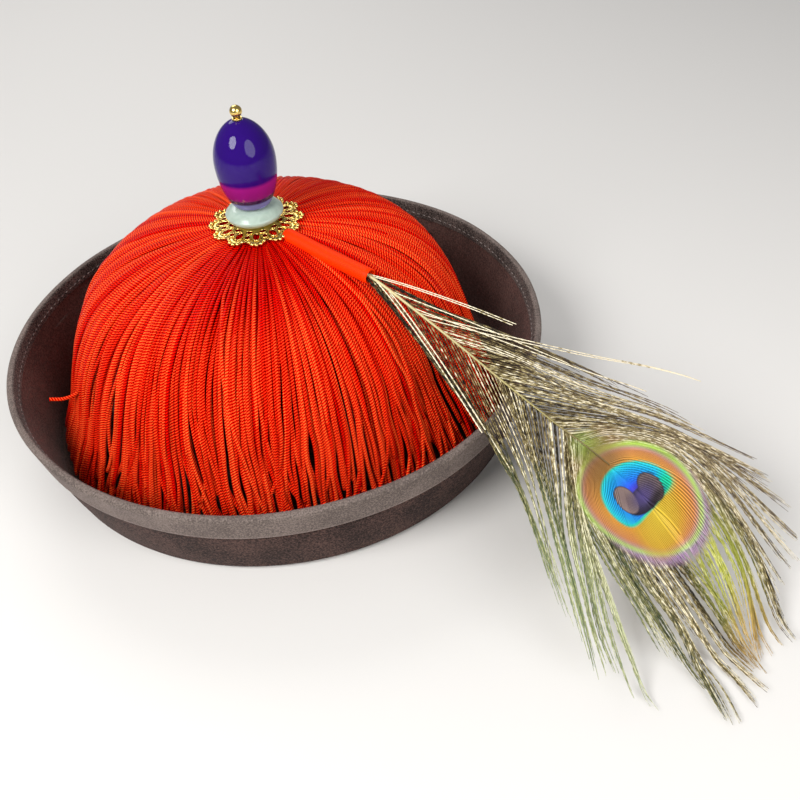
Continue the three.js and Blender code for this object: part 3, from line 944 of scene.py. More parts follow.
@dataclass
class FeltBody:
    """The crown and the upturned brim, of pressed felt, with the rim's cloth binding.

    Attributes:
        crown_radius: The crown's outside radius at its wall.
        crown_height: The height of its outside.
        shoulder: Where its straight wall ends.
        squareness: How square its dome is.
        crown_felt: The crown's wall.
        pin_hole: The radius of the hole for the finial's pin.
        brim_felt: The brim's wall.
        foot: The brim's outside radius at its foot.
        corner: The radius of the bend at its foot.
        rim: Its outside radius at the rim.
        rim_height: The rim's height.
        bulge: The power that bows its wall out.
        crease: The height of the groove that the binding's hem presses into the wall.
        crease_depth: The groove's depth, and half its width.
        cloth: The binding's thickness.
        outside: How far the binding reaches down outside.
        inside: How far it reaches down inside.
        gap: The room between the cloth and the felt.
        fold: How high the cloth's fold stands over the rim, as a share of its reach to the side.
        seam: How far the line of stitches runs below the rim.
        stitch_half: Half a stitch's size: out, along the seam and up.
        stitch_room: How far the stitches' middles stand off the cloth.
        stitch_count: How many stitches go round.
        steps: How many steps make a full turn.
        smoothed: How far above and below the groove the brim's inside is smooth.
        swell: How far the felt swells and sinks.
        swell_length: How long a swell is.
        swell_height: The height from which the felt swells in full.
        dip: How far the rim sags on its lowest side.
        dip_side: Which way the rim sags.
    """

    crown_radius: float = 96.5
    crown_height: float = 106.5
    shoulder: float = 18
    squareness: float = 2.5
    crown_felt: float = 2.5
    pin_hole: float = 1.7
    brim_felt: float = 2
    foot: float = 126
    corner: float = 5
    rim: float = 140
    rim_height: float = 50
    bulge: float = 0.8
    crease: float = 34.2
    crease_depth: float = 0.6
    cloth: float = 0.8
    outside: float = 15
    inside: float = 6
    gap: float = 0.3
    fold: float = 0.75
    seam: float = 3.6
    stitch_half: tuple[float, float, float] = (0.3, 1.2, 0.36)
    stitch_room: float = 0.05
    stitch_count: int = 210
    steps: int = 180
    smoothed: float = 4
    swell: float = 0.5
    swell_length: float = 45
    swell_height: float = 20
    dip: float = 1.7
    dip_side: tuple[float, float, float] = (0.64, 0.77, 0)

    def flare(self, height: float) -> float:
        """The brim's outside radius at a height."""
        return self.foot + (self.rim - self.foot) * (height / self.rim_height) ** self.bulge

    def crown_line(self) -> list[tuple[float, float]]:
        """Draws the crown's outside.

        Returns:
            Its line from the crown's lower edge to the pin's hole.
        """
        rise = self.crown_height - self.shoulder
        power = 2 / self.squareness
        line = [(self.crown_radius, float(up)) for up in (0, 6, 12)]
        for turn in np.linspace(0, math.pi / 2, 28)[:-1]:
            up = self.shoulder + rise * math.sin(turn) ** power
            line.append((self.crown_radius * math.cos(turn) ** power, up))
        return [*line, (self.pin_hole, self.crown_height)]

    def brim_line(self) -> list[tuple[float, float]]:
        """Draws the brim's outside.

        Returns:
            Its line from the crown's edge over its corner to the rim.
        """
        start = self.foot - self.corner
        line = [(out, 0.0) for out in np.linspace(self.crown_radius + self.gap, start, 8)]
        for turn in np.linspace(0, math.pi / 2, 7)[1:]:
            out = start + (self.flare(self.corner) - start) * math.sin(turn)
            line.append((out, self.corner * (1 - math.cos(turn))))
        groove = self.crease + self.crease_depth * np.arange(-2, 3)
        for up in np.unique([*np.linspace(self.corner, self.rim_height, 16)[1:], *groove]):
            deep = math.exp(-(((up - self.crease) / self.crease_depth) ** 2))
            line.append((self.flare(up) - self.crease_depth * deep, up))
        return line

    def binding_line(self) -> list[tuple[float, float]]:
        """Draws the binding's outside.

        Returns:
            Its line from the outer hem over the rim to the inner hem.
        """
        half = self.brim_felt / 2
        reach = half + self.gap + self.cloth
        rises = np.linspace(self.rim_height - self.outside, self.rim_height, 10)
        line = [(self.flare(up) - half + reach, up) for up in rises]
        for turn in np.linspace(0, math.pi, 9)[1:-1]:
            up = self.rim_height + self.fold * reach * math.sin(turn)
            line.append((self.rim - half + reach * math.cos(turn), up))
        falls = np.linspace(self.rim_height, self.rim_height - self.inside, 5)
        return [*line, *((self.flare(up) - half - reach, up) for up in falls)]

    def walled(self, line: Profile, felt: float, rounding: float, segments: int) -> Shape:
        """Spins a line to a sheet and gives it a thickness.

        Args:
            line: The sheet's outside.
            felt: The wall's thickness, in millimetres.
            rounding: How far its edges are rounded, in millimetres.
            segments: How many faces make the rounding.

        Returns:
            The walled shape.
        """
        shape = spun(line, self.steps, closed=False)
        outer = max(shape.verts, key=lambda vert: vert.co.x + vert.co.z)
        if outer.normal.dot(Vector((outer.co.x, outer.co.y, 0))) < 0:
            bmesh.ops.reverse_faces(shape, faces=shape.faces)
        shape.normal_update()
        bmesh.ops.solidify(shape, geom=list(shape.faces), thickness=felt * MM)
        bmesh.ops.recalc_face_normals(shape, faces=shape.faces)
        soften(shape, rounding, segments)
        return shape

    def relax(self, shape: Shape) -> None:
        """Takes the machine look off a wall by slow swells in it, and lets its rim sag.

        Args:
            shape: The shape to change.
        """
        for vert in shape.verts:
            lift = min(1.0, vert.co.z / (self.swell_height * MM))
            way = Vector((vert.co.x, vert.co.y, 0)).normalized()
            wave = noise.noise(vert.co / (self.swell_length * MM))
            vert.co += way * (self.swell * MM * lift * wave)
            sag = max(0.0, way.dot(Vector(self.dip_side))) ** 2
            vert.co.z -= sag * self.dip * vert.co.z / self.rim_height

    def crown(self) -> None:
        """Builds the crown."""
        shape = self.walled(self.crown_line(), self.crown_felt, 0.3 * self.crown_felt, 3)
        put(as_mesh(shape, "felt_crown"), Tint.FELT, "crown")

    def brim(self) -> None:
        """Builds the brim, lightened inside by painted light, and smooth there behind its groove."""
        shape = self.walled(self.brim_line(), self.brim_felt, 0.3 * self.brim_felt, 3)
        painted_light = shape.verts.layers.float.new("painted_light")
        for vert in shape.verts:
            up, out = vert.co.z / MM, math.hypot(vert.co.x, vert.co.y) / MM
            inner = out < self.flare(max(0.0, up)) - 0.6 * self.brim_felt
            # Painted light on the brim's inside, which lifts its shade
            vert[painted_light] = 0.5 * inner
            if inner and abs(up - self.crease) < self.smoothed:
                vert.co.xy = vert.co.xy * (self.flare(up) - self.brim_felt) / out
        self.relax(shape)
        put(as_mesh(shape, "felt_brim"), Tint.FELT, "brim")

    def binding(self) -> None:
        """Builds the strip of cloth over the rim, with painted sheen on its outside and painted highlights
        along its crest and its hem.
        """
        rounding, hem_width, crest_height, crest_width = 0.25, 0.7, 1.5, 0.25
        shape = self.walled(self.binding_line(), self.cloth, rounding, 2)
        painted_light = shape.verts.layers.float.new("painted_light")
        for vert in shape.verts:
            up = vert.co.z / MM - self.rim_height
            outer = math.hypot(vert.co.x, vert.co.y) / MM > self.flare(self.rim_height + up)
            hem = math.exp(-(((up + self.outside) / hem_width) ** 2))
            crest = math.exp(-(((up - crest_height) / crest_width) ** 2))
            # Painted sheen on the outer face, and painted highlights along the crest and along the fold at
            # the hem
            vert[painted_light] = 0.45 * outer + 0.6 * crest + 0.5 * hem
        self.relax(shape)
        put(as_mesh(shape, "rim_binding"), Tint.BINDING, "brim_binding")

    def stitches(self) -> None:
        """Sews the line of stitches just inside the rim."""
        shape = bmesh.new()
        up = self.rim_height - self.seam
        out = self.flare(up) - self.brim_felt - self.gap - self.cloth - self.stitch_room
        size = Matrix.Diagonal((*(half * MM for half in self.stitch_half), 1))
        for turn in np.linspace(0, FULL_TURN, self.stitch_count, endpoint=False):
            way = Matrix.Rotation(float(turn), 4, "Z") @ Matrix.Translation((out * MM, 0, up * MM))
            bmesh.ops.create_icosphere(shape, subdivisions=1, radius=1, matrix=way @ size)
        self.relax(shape)
        put(as_mesh(shape, "rim_stitches"), Tint.THREAD, "brim_binding")

    def build(self) -> None:
        """Builds the felt body."""
        self.crown()
        self.brim()
        self.binding()
        self.stitches()


@dataclass
class Tassel:
    """The dome of twisted cords, each laid down the drape from the finial.

    Attributes:
        drape: The outside of the cords from the pin to their ends: distance out and height.
        lean: How far the cord ends stand off centre.
        count: How many cords there are.
        cord: A cord's diameter.
        layers: How many layers deep the cords are drawn.
        start: How far out the innermost cords start.
        reach: How far down the drape the longest cords end, and how much sooner the shortest.
        packing: How packed the cords are before they sink, and the share of a cord's diameter
            that each further layer sinks.
        depths: The highest and the lowest that a cord lies under the drape.
        stations: How many sections a cord has.
        sides: How many sides a section has.
        pieces: How many pieces the cords are split over.
        waves: How many waves of sway go round the dome, and how far each sways the cords.
        lobes: Where the cords stand out low down: the angle, its width, how far out, and from
            what height down.
        lobe_foot: The height at which the lobes stand out in full.
        partings: Where the dome parts: the angle, the heights of its ends, and half its width.
        parting_reach: How far to the side a parting pushes the cords.
        wild: The share of cords that stray from high up.
        curled: The looseness, from 0 to 1, above which a cord curls at its tip.
        risen: The looseness above which its tip rises a little from the dome.
        tone: The cords' mean tone and its spread.
        shade: The finial's shade on the cords: its angle, half its width and its strength.
        stray: The points of the one cord end that stands clear of the dome.
    """

    drape: Profile = (
        (2.2, 113.5), (14, 113.1), (28, 111.9), (42, 109.8), (58, 105.4), (74, 97.3),
        (87, 86), (96, 72.4), (102, 58.5), (107, 41.3), (111.5, 24), (115, 8),
    )
    lean: tuple[float, float] = (2.4, -3.9)
    count: int = 720
    cord: float = 1.9
    layers: float = 2.8
    start: float = 3.0
    reach: tuple[float, float] = (0.995, 0.15)
    packing: tuple[float, float] = (0.6, 0.7)
    depths: tuple[float, float] = (-0.7, 5.5)
    stations: int = 56
    sides: int = 5
    pieces: int = 3
    waves: Profile = ((2, 3.0), (5, 3.2), (9, 2.6), (17, 1.6), (31, 1.1), (53, 0.7))
    lobes: Sequence[tuple[float, float, float, float]] = ((108, 22, 13, 52), (342, 22, 4.5, 30))
    lobe_foot: float = 12
    partings: Sequence[tuple[float, float, float, float]] = (
        (12, 50, 18, 1.3), (23, 70, 22, 1.3), (35.4, 52, 24, 1.5), (46, 72, 30, 1.4), (56.5, 60, 36, 1.2),
        (80, 62, 34, 1.4), (83.5, 72, 42, 1.5), (86.5, 96, 66, 1.5), (90, 64, 40, 1.2),
    )
    parting_reach: float = 9
    wild: float = 0.08
    curled: float = 0.55
    risen: float = 0.85
    tone: tuple[float, float] = (0.13, 0.09)
    shade: tuple[float, float, float] = (42, 42, 0.3)
    stray: Sequence[tuple[float, float, float]] = (
        (93.8, -43.2, 60), (95.8, -44.2, 53), (98.4, -46.2, 48.8), (103.5, -50.3, 47.1), (108.8, -54.6, 48.4),
    )

    def laid(self, rng: Random) -> tuple[np.ndarray, np.ndarray, np.ndarray]:
        """Lays every cord down the drape.

        Args:
            rng: The source of the cords' small differences.

        Returns:
            The cords' routes, which way is out at each station, and each station's tone.
        """
        line = smooth_line(self.drape, 600)
        line[:, 1] -= self.cord / 2
        share = np.linspace(0, 1, len(line))
        rank = np.arange(self.count)
        first = np.maximum(rank * self.cord / (FULL_TURN * self.layers), self.start)
        start = np.interp(first, line[:, 0], share)
        ends = self.reach[0] - self.reach[1] * rng.random(self.count) ** 3
        down = start[:, None] + (ends - start)[:, None] * np.linspace(0, 1, self.stations)
        slope = np.gradient(line, axis=0)
        out, up = (np.interp(down, share, line[:, i]) for i in (0, 1))
        way_out, way_up = (np.interp(down, share, slope[:, i]) for i in (0, 1))
        steep = np.hypot(way_out, way_up)
        normal_out, normal_up = -way_up / steep, way_out / steep

        # Each cord sinks under the ones laid after it, as far as they are packed
        angle = np.broadcast_to((rank * GOLDEN_TURN % FULL_TURN)[:, None], down.shape)
        packed = rank[:, None] * self.cord / (FULL_TURN * out)
        sway, sink = self.drift(rng, angle, down)
        loosest, sinking = self.packing
        depth = np.clip(packed - loosest, 0, self.layers) * self.cord * sinking + sink
        depth = np.clip(depth, *self.depths)
        for centre, width, reach, top in self.lobes:
            low = np.clip((top - up) / (top - self.lobe_foot), 0, 1)
            beside = (np.degrees(angle) - centre + 180) % 360 - 180
            out = out + reach * low * np.exp(-((beside / width) ** 2))
        out = out - normal_out * depth
        up = up - normal_up * depth
        turned = angle + (sway + self.parted(rng, angle, up, out)) / np.maximum(out, 12)
        cos, sin = np.cos(turned), np.sin(turned)
        fall = 1 - up / self.drape[0][1]
        routes = np.stack([out * cos + self.lean[0] * fall, out * sin + self.lean[1] * fall, up], axis=-1)
        faces = np.stack([normal_out * cos, normal_out * sin, normal_up], axis=-1)

        # The tone is darker near the finial on the side that the finial shades
        tones = rng.normal(*self.tone, (self.count, 1)) + 0 * down
        near = np.clip((78 - out) / 40, 0, 1)
        centre, width, strength = self.shade
        tones -= strength * near * np.exp(-(((np.degrees(angle) - centre) / width) ** 2))
        return routes, faces, tones

    def parted(self, rng: Random, angle: np.ndarray, up: np.ndarray, out: np.ndarray) -> np.ndarray:
        """Works out how far the cords are pushed aside where the dome parts.

        Args:
            rng: The source of the partings on the far side.
            angle: Each cord's own angle, in radians.
            up: Each station's height.
            out: Each station's distance out.

        Returns:
            The sideways push at each station, in millimetres.
        """
        far = [
            (turn + rng.uniform(-5, 5), rng.uniform(50, 90), rng.uniform(15, 40), rng.uniform(1, 2))
            for turn in range(102, 362, 11)
        ]
        push = np.zeros_like(up)
        for turn, top, bottom, width in [*self.partings, *far]:
            away = ((angle - math.radians(turn) + math.pi) % FULL_TURN - math.pi) * out
            lens = np.sin(math.pi * np.clip((top - up) / (top - bottom), 0, 1))
            push += np.sign(away) * width * np.exp(-np.abs(away) / self.parting_reach) * lens
        return push

    def drift(self, rng: Random, angle: np.ndarray, down: np.ndarray) -> tuple[np.ndarray, np.ndarray]:
        """Works out how far the cords drift sideways and sink as they fall.

        Args:
            rng: The source of the cords' small differences.
            angle: Each cord's own angle, in radians.
            down: Each station's place down the drape.

        Returns:
            The sideways drift and the depth to add, in millimetres.
        """
        sway = np.zeros_like(down)
        for waves, size in self.waves:
            turn, speed = rng.random() * FULL_TURN, rng.uniform(-5, 5)
            sway += size * np.sin(waves * angle + turn + speed * down) * down
        lone = (self.count, 1)
        curl = rng.random(lone) * FULL_TURN
        speed = rng.uniform(5, 15, lone)
        sway += (np.sin(curl + speed * down) - np.sin(curl)) * np.abs(rng.normal(0, 1.0, lone)) * down

        # The loosest cords curl at their tips, and a few stray from high up
        loose = rng.random(lone)
        wild = loose < self.wild
        tail = np.clip((down - 0.7) / 0.3, 0, 1) ** 2
        sway += rng.normal(0, 1, lone) * (1.5 + 8 * (loose > self.curled)) * tail
        sway += rng.normal(0, 9, lone) * wild * np.clip((down - 0.3) / 0.7, 0, 1)
        sink = 0.55 * np.sin(curl * 3 + (speed + 4) * down) * down
        sink -= 0.9 * wild * down + 1.0 * (loose > self.risen) * tail
        return sway, sink

    def build(self) -> None:
        """Builds the cords in a few pieces, and the stray end."""
        routes, faces, tones = self.laid(np.random.default_rng(SEED))
        for part in range(self.pieces):
            mine = slice(part, None, self.pieces)
            half = np.full(tones[mine].shape, self.cord / 2)
            field = StrandField(routes[mine], faces[mine], half, half, self.sides)
            put(field.mesh(f"tassel_cords_{part + 1}", tones[mine]), Tint.CORD, "tassel")
        route = smooth_line(self.stray, self.stations)[None]
        half = np.full(route.shape[:2], self.cord / 2)
        end = StrandField(route, upward(route), half, half, 8)
        put(end.mesh("tassel_stray", np.full(half.shape, 0.15)), Tint.CORD, "tassel")


@dataclass
class Finial:
    """The flower, disc, bead, collar and ball that stand on the pin.

    Attributes:
        pin_hole: The radius of the hole for the pin.
        petals: How many petals the flower has.
        metal: The flower's thickness.
        hub: The radius of its flat hub.
        hub_height: The height of the hub's underside.
        droop: How far the petals fall.
        droop_run: The distance out that they fall over.
        droop_power: The power that bows them.
        wire: The radius of the wire along its edges.
        valley: The flower's radius between two petals.
        petal: How far a petal's tip stands out over that.
        pierced: One petal's openings: distance out, turn as a share of a petal, and half sizes.
        grains: The beads on one petal's tip: distance out, distance aside, and radius.
        disc_line: The disc's outside from its foot over its edge to its top.
        disc_top: The disc's height at the pin.
        bead_radius: The bead's radius at its girth.
        bead_heights: The bead's bottom, girth and top.
        bead_curves: Where its two curves would reach the axis, below and above its girth.
        bead_power: The power of its upper curve, where a half makes an ellipse.
        steps: How many steps make a full turn of the disc and the bead.
        small_steps: How many make one of the fittings.
        ball_radius: The ball's radius.
        ball_centre: The ball's height.
        collar: The collar's section.
        sleeve: The section of the milky sleeve that shows in the bead's bore.
        pin: The pin's section.
    """

    pin_hole: float = 1.7
    petals: int = 12
    metal: float = 0.5
    hub: float = 9.6
    hub_height: float = 114.1
    droop: float = 1.1
    droop_run: float = 13
    droop_power: float = 1.5
    wire: float = 0.3
    valley: float = 18.6
    petal: float = 3.6
    pierced: Sequence[tuple[float, float, float, float]] = (
        (12.5, -0.5, 1.3, 1.9), (16.3, 0, 2.9, 1.85), (16.5, -0.5, 1.6, 1.45),
    )
    grains: Sequence[tuple[float, float, float]] = (
        (22.9, 0, 1.05), (22.3, 2.15, 1.0), (22.3, -2.15, 1.0), (20.6, 3.7, 0.9), (20.6, -3.7, 0.9),
    )
    disc_line: Profile = (
        (10.5, 115.4), (13.1, 117.2), (14.2, 118.7), (14.3, 119.6), (13.8, 120.4), (10.8, 122.8),
        (5.4, 124.1),
    )
    disc_top: float = 124.3
    bead_radius: float = 14.8
    bead_heights: tuple[float, float, float] = (124.7, 146.5, 167.2)
    bead_curves: tuple[float, float] = (28, 21.2)
    bead_power: float = 0.55
    steps: int = 96
    small_steps: int = 32
    ball_radius: float = 2.9
    ball_centre: float = 171.3
    collar: Profile = ((1.7, 167.5), (2.35, 167.5), (2.35, 168.3), (1.7, 168.3))
    sleeve: Profile = ((1.75, 126), (2.2, 126), (2.2, 166), (1.75, 166))
    pin: Profile = ((0, 101.6), (6, 101.6), (6, 103.1), (1.2, 103.1), (1.2, 171), (0, 171))

    def petal_height(self, out: float) -> float:
        """The height of the flower's underside: a flat hub, and petals that droop."""
        return self.hub_height - self.droop * max(0.0, (out - self.hub) / self.droop_run) ** self.droop_power

    def openings(self) -> list[np.ndarray]:
        """Draws the flower's openings.

        Returns:
            Their outlines, flat, in millimetres.
        """
        loops = []
        spins = np.linspace(0, FULL_TURN, 15)[:-1]
        for petal in range(self.petals):
            for out, turn, long, wide in self.pierced:
                angle = (petal + 0.5 + turn) * FULL_TURN / self.petals
                x, y = out + long * np.cos(spins), wide * np.sin(spins)
                cos, sin = math.cos(angle), math.sin(angle)
                loops.append(np.stack([x * cos - y * sin, x * sin + y * cos], axis=1))
        return loops

    def outline(self) -> np.ndarray:
        """Draws the flower's outer edge.

        Returns:
            The edge, flat, in millimetres.
        """
        per_petal = 14
        turns = np.linspace(0, FULL_TURN, self.petals * per_petal + 1)[:-1]
        share = (turns * self.petals / FULL_TURN) % 1 - 0.5
        out = self.valley + self.petal * np.abs(np.cos(math.pi * share)) ** 0.55
        return np.stack([out * np.cos(turns), out * np.sin(turns)], axis=1)

    def flower_plate(self) -> Shape:
        """Cuts the pierced plate of the flower.

        Returns:
            The plate, bowed to its petals' fall.
        """
        turns = np.linspace(0, FULL_TURN, 17)[:-1]
        hole = self.pin_hole * np.stack([np.cos(turns), np.sin(turns)], axis=1)
        shape = bmesh.new()
        edges = []
        for loop in (hole, *self.openings(), self.outline()):
            corners = [shape.verts.new((x * MM, y * MM, 0)) for x, y in loop]
            edges += [shape.edges.new(pair) for pair in zip(corners, [*corners[1:], corners[0]])]
        bmesh.ops.triangle_fill(shape, edges=edges, use_beauty=True, normal=(0, 0, 1))
        grown = bmesh.ops.extrude_face_region(shape, geom=list(shape.faces))["geom"]
        top = [item for item in grown if isinstance(item, bmesh.types.BMVert)]
        bmesh.ops.translate(shape, vec=(0, 0, self.metal * MM), verts=top)
        bmesh.ops.recalc_face_normals(shape, faces=shape.faces)
        for vert in shape.verts:
            vert.co.z += self.petal_height(math.hypot(vert.co.x, vert.co.y) / MM) * MM
        return shape

    def flower_wires(self) -> bpy.types.Mesh:
        """Lays a round wire along every edge of the plate.

        Returns:
            The wires, joined.
        """
        routes = []
        rings = [np.vstack([loop, loop[:1]]) for loop in self.openings()]
        for loop in (*rings, *np.array_split(self.outline(), self.petals)):
            flat = smooth_line(loop, 18)
            up = [self.petal_height(float(np.hypot(*point))) + self.metal for point in flat]
            routes.append(np.column_stack([flat, up]))
        places = np.array(routes)
        half = np.full(places.shape[:2], self.wire)
        return StrandField(places, upward(places), half, half, 6).mesh("filigree_wires")

    def flower_grains(self) -> Shape:
        """Sets the beads on the petal tips.

        Returns:
            The beads, joined.
        """
        shape = bmesh.new()
        for petal in range(self.petals):
            for out, side, size in self.grains:
                angle = (petal + 0.5) * FULL_TURN / self.petals + side / out
                up = self.petal_height(out) + self.metal + size * 0.2
                spot = Vector((out * math.cos(angle), out * math.sin(angle), up)) * MM
                place = Matrix.Translation(spot)
                bmesh.ops.create_icosphere(shape, subdivisions=2, radius=size * MM, matrix=place)
        return shape

    def flower(self) -> None:
        """Builds the flower."""
        put(as_mesh(self.flower_plate(), "filigree_plate"), Tint.GILT, "filigree_base")
        put(self.flower_wires(), Tint.GILT, "filigree_base")
        put(as_mesh(self.flower_grains(), "filigree_grains"), Tint.GILT, "filigree_base")

    def disc(self) -> None:
        """Builds the disc."""
        rounded = smooth_line(self.disc_line, 40).tolist()
        profile = [(self.pin_hole, self.disc_line[0][1]), *rounded, (self.pin_hole, self.disc_top)]
        put(as_mesh(spun(profile, self.steps, closed=True), "domed_disc"), Tint.JADE, "jade_disc")

    def bead(self) -> None:
        """Builds the bead, and the sleeve in its bore."""
        bottom, girth, top = self.bead_heights
        below, above = self.bead_curves
        profile = [(self.pin_hole, bottom)]
        for up in np.linspace(bottom, girth, 24):
            profile.append((self.bead_radius * math.sqrt(1 - ((girth - up) / below) ** 2), up))
        for turn in np.linspace(0, math.pi / 2, 24)[1:]:
            up = girth + (top - girth) * math.sin(turn)
            profile.append((self.bead_radius * (1 - ((up - girth) / above) ** 2) ** self.bead_power, up))
        profile.append((self.pin_hole, top))
        put(as_mesh(spun(profile, self.steps, closed=True), "glass_bead"), Tint.GLASS, "finial_bead")
        put(as_mesh(spun(self.sleeve, 24, closed=True), "bore_sleeve"), Tint.JADE, "finial_bead")

    def fittings(self) -> None:
        """Builds the collar, the ball and the pin."""
        collar = spun(self.collar, self.small_steps, closed=True)
        soften(collar, 0.12, 2)
        put(as_mesh(collar, "gilt_collar"), Tint.GILT, "finial_collar")
        profile = [(0, self.ball_centre), (self.pin_hole, self.ball_centre)]
        for turn in np.linspace(math.asin(self.pin_hole / self.ball_radius), math.pi, 20):
            up = self.ball_centre - self.ball_radius * math.cos(turn)
            profile.append((self.ball_radius * math.sin(turn), up))
        put(as_mesh(spun(profile, self.small_steps, closed=False), "gilt_ball"), Tint.GILT, "finial_ball")
        pin = spun(self.pin, self.small_steps, closed=False)
        soften(pin, 0.3, 2)
        put(as_mesh(pin, "gilt_pin"), Tint.GILT, "finial_pin")

    def build(self) -> None:
        """Builds the finial from its base up."""
        self.flower()
        self.disc()
        self.bead()
        self.fittings()


@dataclass
class PlumeTube:
    """The plastic tube that holds the plume.

    Attributes:
        route: The tube's middle line: distance along +Y and height.
        outside: Its outside radius.
        bore: Its bore's radius.
        lip: How far its rounded mouth stands out, along +Y and up.
    """

    route: Profile = ((20.5, 112.4), (47, 109.4), (72.9, 107.3))
    outside: float = 3.75
    bore: float = 3.0
    lip: tuple[float, float, float] = (0, 0.25, -0.02)

    def build(self) -> None:
        """Builds the tube with its wall turned in at the mouth."""
        points = upright(smooth_line(self.route, 24))
        ways = unit(np.gradient(points, axis=0))
        back = slice(-2, 2, -1)
        route = [*points, points[-1] + self.lip, points[-1], *points[back]]
        facing = [*ways, ways[-1], ways[-1], *ways[back]]
        outer = [self.outside - 0.4, *[self.outside] * (len(points) - 1)]
        inner = [(self.outside + self.bore) / 2, *[self.bore] * (len(points) - 3)]
        tube = swept(route, [*outer, *inner], 32, facing)
        put(as_mesh(tube, "orange_tube"), Tint.TUBE, "plume_tube")


@dataclass
class Feather:
    """The peacock plume: a shaft that droops over the brim, and barbs that make the vane.

    Attributes:
        shaft: The shaft's line: distance along +Y and height.
        shaft_radii: Its radius in the tube and where it ends in the eye.
        roll: How much the vane rises from its low side to its high side.
        tip_height: How low the vane may lie.
        softness: How gently the vane bends where it comes down to that height.
        eye_along: How far along the vane the eye's chart starts.
        eye_middle: The middle of the eye's oval on the chart.
        eye_oval: Half the oval's length and width, and its turn from the shaft, in degrees.
        web_pitch: The distance from one painted shade line of the eye's web to the next.
        low_locks: The routes of the low side's locks, along the vane and across it, from the shaft.
        high_locks: The same on the high side.
        strays: Loose barbs: where they leave the shaft, and their tips along and across.
        root: The share of a side's barbs that leave the shaft before the eye, and the number of
            routes that they lie among.
        under_from: The route where the barbs under them start.
        lock_widths: The narrowest and the widest lock, where two routes lie 1 apart.
        half_lock: About half a lock's width in the mean.
        locks_per_route: How many locks are drawn for each route, more than can be filled.
        gather: How far a barb is drawn to the middle of its lock.
        shortened: How much shorter the shortest barbs are cut.
        lowest: The lowest that a barb lies over the ground.
        calm: How freely a barb wanders inside the eye, where 1 is free.
        barb: Half a barb's width between its beads, how much a bead adds, and half its depth.
        knit: The narrowest and the widest half of a barb in the eye, in millimetres.
        sunk: How far the barbs lie under the vane's surface, how much deeper the ones under the
            eye lie, and how far the web does.
        web_thickness: The web's thickness.
        per_side: How many barbs each side has on top.
        under: How many more lie under them, near the eye.
        stations: How many sections a barb has.
    """

    shaft: Profile = (
        (48, 109.3), (72.9, 107.3), (112.5, 92.7), (143, 79.8),
        (171.4, 68.4), (196.8, 59.3), (217.5, 48.5), (247.7, 26.5),
    )
    shaft_radii: tuple[float, float] = (0.85, 0.22)
    roll: float = 0.32
    tip_height: float = 2.6
    softness: float = 3
    eye_along: float = 217
    eye_middle: tuple[float, float] = (0.9, -0.1)
    eye_oval: tuple[float, float, float] = (27.6, 20.8, 39.5)
    web_pitch: float = 0.8
    low_locks: Sequence[Profile] = (
        ((66, 0), (109, -10), (143, -17), (157, -18)),
        ((76, 0), (121, -14), (167, -26), (206, -53)),
        ((112, 0), (143, -15), (178, -34), (217, -60)),
        ((142, 0), (174, -20), (206, -49), (228, -64)),
        ((158, 0), (177, -18), (209, -45), (235, -66)),
        ((178, 0), (191, -18), (209, -42), (241, -68)),
        ((181, 0), (193, -15), (206, -30), (225, -50), (240, -59)),
        ((186, 0), (193, -10), (203, -24), (220, -38), (266, -67)),
        ((191, 0), (199, -18), (212, -26), (241, -35), (256, -39)),
        ((195, 0), (205, -17), (229, -29), (257, -34), (269, -38)),
        ((199, 0), (209, -14), (235, -24), (258, -29), (287, -50)),
        ((203, 0), (222, -15), (250, -24), (277, -34), (292, -46)),
        ((207, 0), (222, -11), (257, -17), (294, -27)),
        ((210, 0), (224, -6), (264, -14), (286, -20)),
        ((215, 0), (234, -2), (268, -6), (291, -20)),
    )
    high_locks: Sequence[Profile] = (
        ((66, 0), (97, 6), (125, 16), (158, 28), (169, 27)),
        ((84, 0), (121, 12), (160, 26), (200, 35)),
        ((108, 0), (140, 13), (186, 26), (224, 41)),
        ((128, 0), (151, 11), (184, 21), (246, 51)),
        ((144, 0), (169, 12), (210, 28), (254, 49)),
        ((166, 0), (190, 15), (228, 39), (260, 51)),
        ((174, 0), (197, 17), (233, 36), (274, 43)),
        ((180, 0), (203, 20), (234, 34), (280, 32)),
        ((184, 0), (198, 16), (229, 30), (274, 24)),
        ((188, 0), (199, 13), (225, 26), (261, 23), (294, 2)),
        ((192, 0), (203, 13), (230, 26), (258, 20), (292, 2)),
        ((196, 0), (203, 10), (225, 23), (257, 15), (288, -10)),
        ((200, 0), (208, 10), (231, 20), (262, 12), (285, -15)),
        ((207, 0), (225, 9), (251, 5), (286, -17)),
        ((215, 0), (240, 1), (286, -18)),
    )
    strays: Sequence[tuple[float, float, float]] = (
        (70, 137, 25), (72, 136, 23.5), (84, 169, 27), (96, 198, 37),
        (100, 210, 56), (104, 214, 58), (75, 152, -24), (82, 171, -29),
    )
    root: tuple[float, float] = (0.36, 4.5)
    under_from: float = 3.5
    lock_widths: tuple[float, float] = (0.25, 0.9)
    half_lock: float = 0.28
    locks_per_route: int = 4
    gather: float = 0.85
    shortened: float = 0.4
    lowest: float = 1.4
    calm: float = 0.03
    barb: tuple[float, float, float] = (0.18, 0.36, 0.16)
    knit: tuple[float, float] = (0.25, 1.0)
    sunk: tuple[float, float, float] = (0.5, 1.1, 0.85)
    web_thickness: float = 0.15
    per_side: int = 130
    under: int = 74
    stations: int = 120

    def shaft_height(self, along: np.ndarray) -> np.ndarray:
        """Works out the shaft's height, which falls on past the shaft's end.

        Args:
            along: Distances along +Y.

        Returns:
            The height at each.
        """
        line = smooth_line(self.shaft, 300)
        slope = (line[-1, 1] - line[-2, 1]) / (line[-1, 0] - line[-2, 0])
        past = np.maximum(along - line[-1, 0], 0)
        return np.interp(along, line[:, 0], line[:, 1]) + slope * past

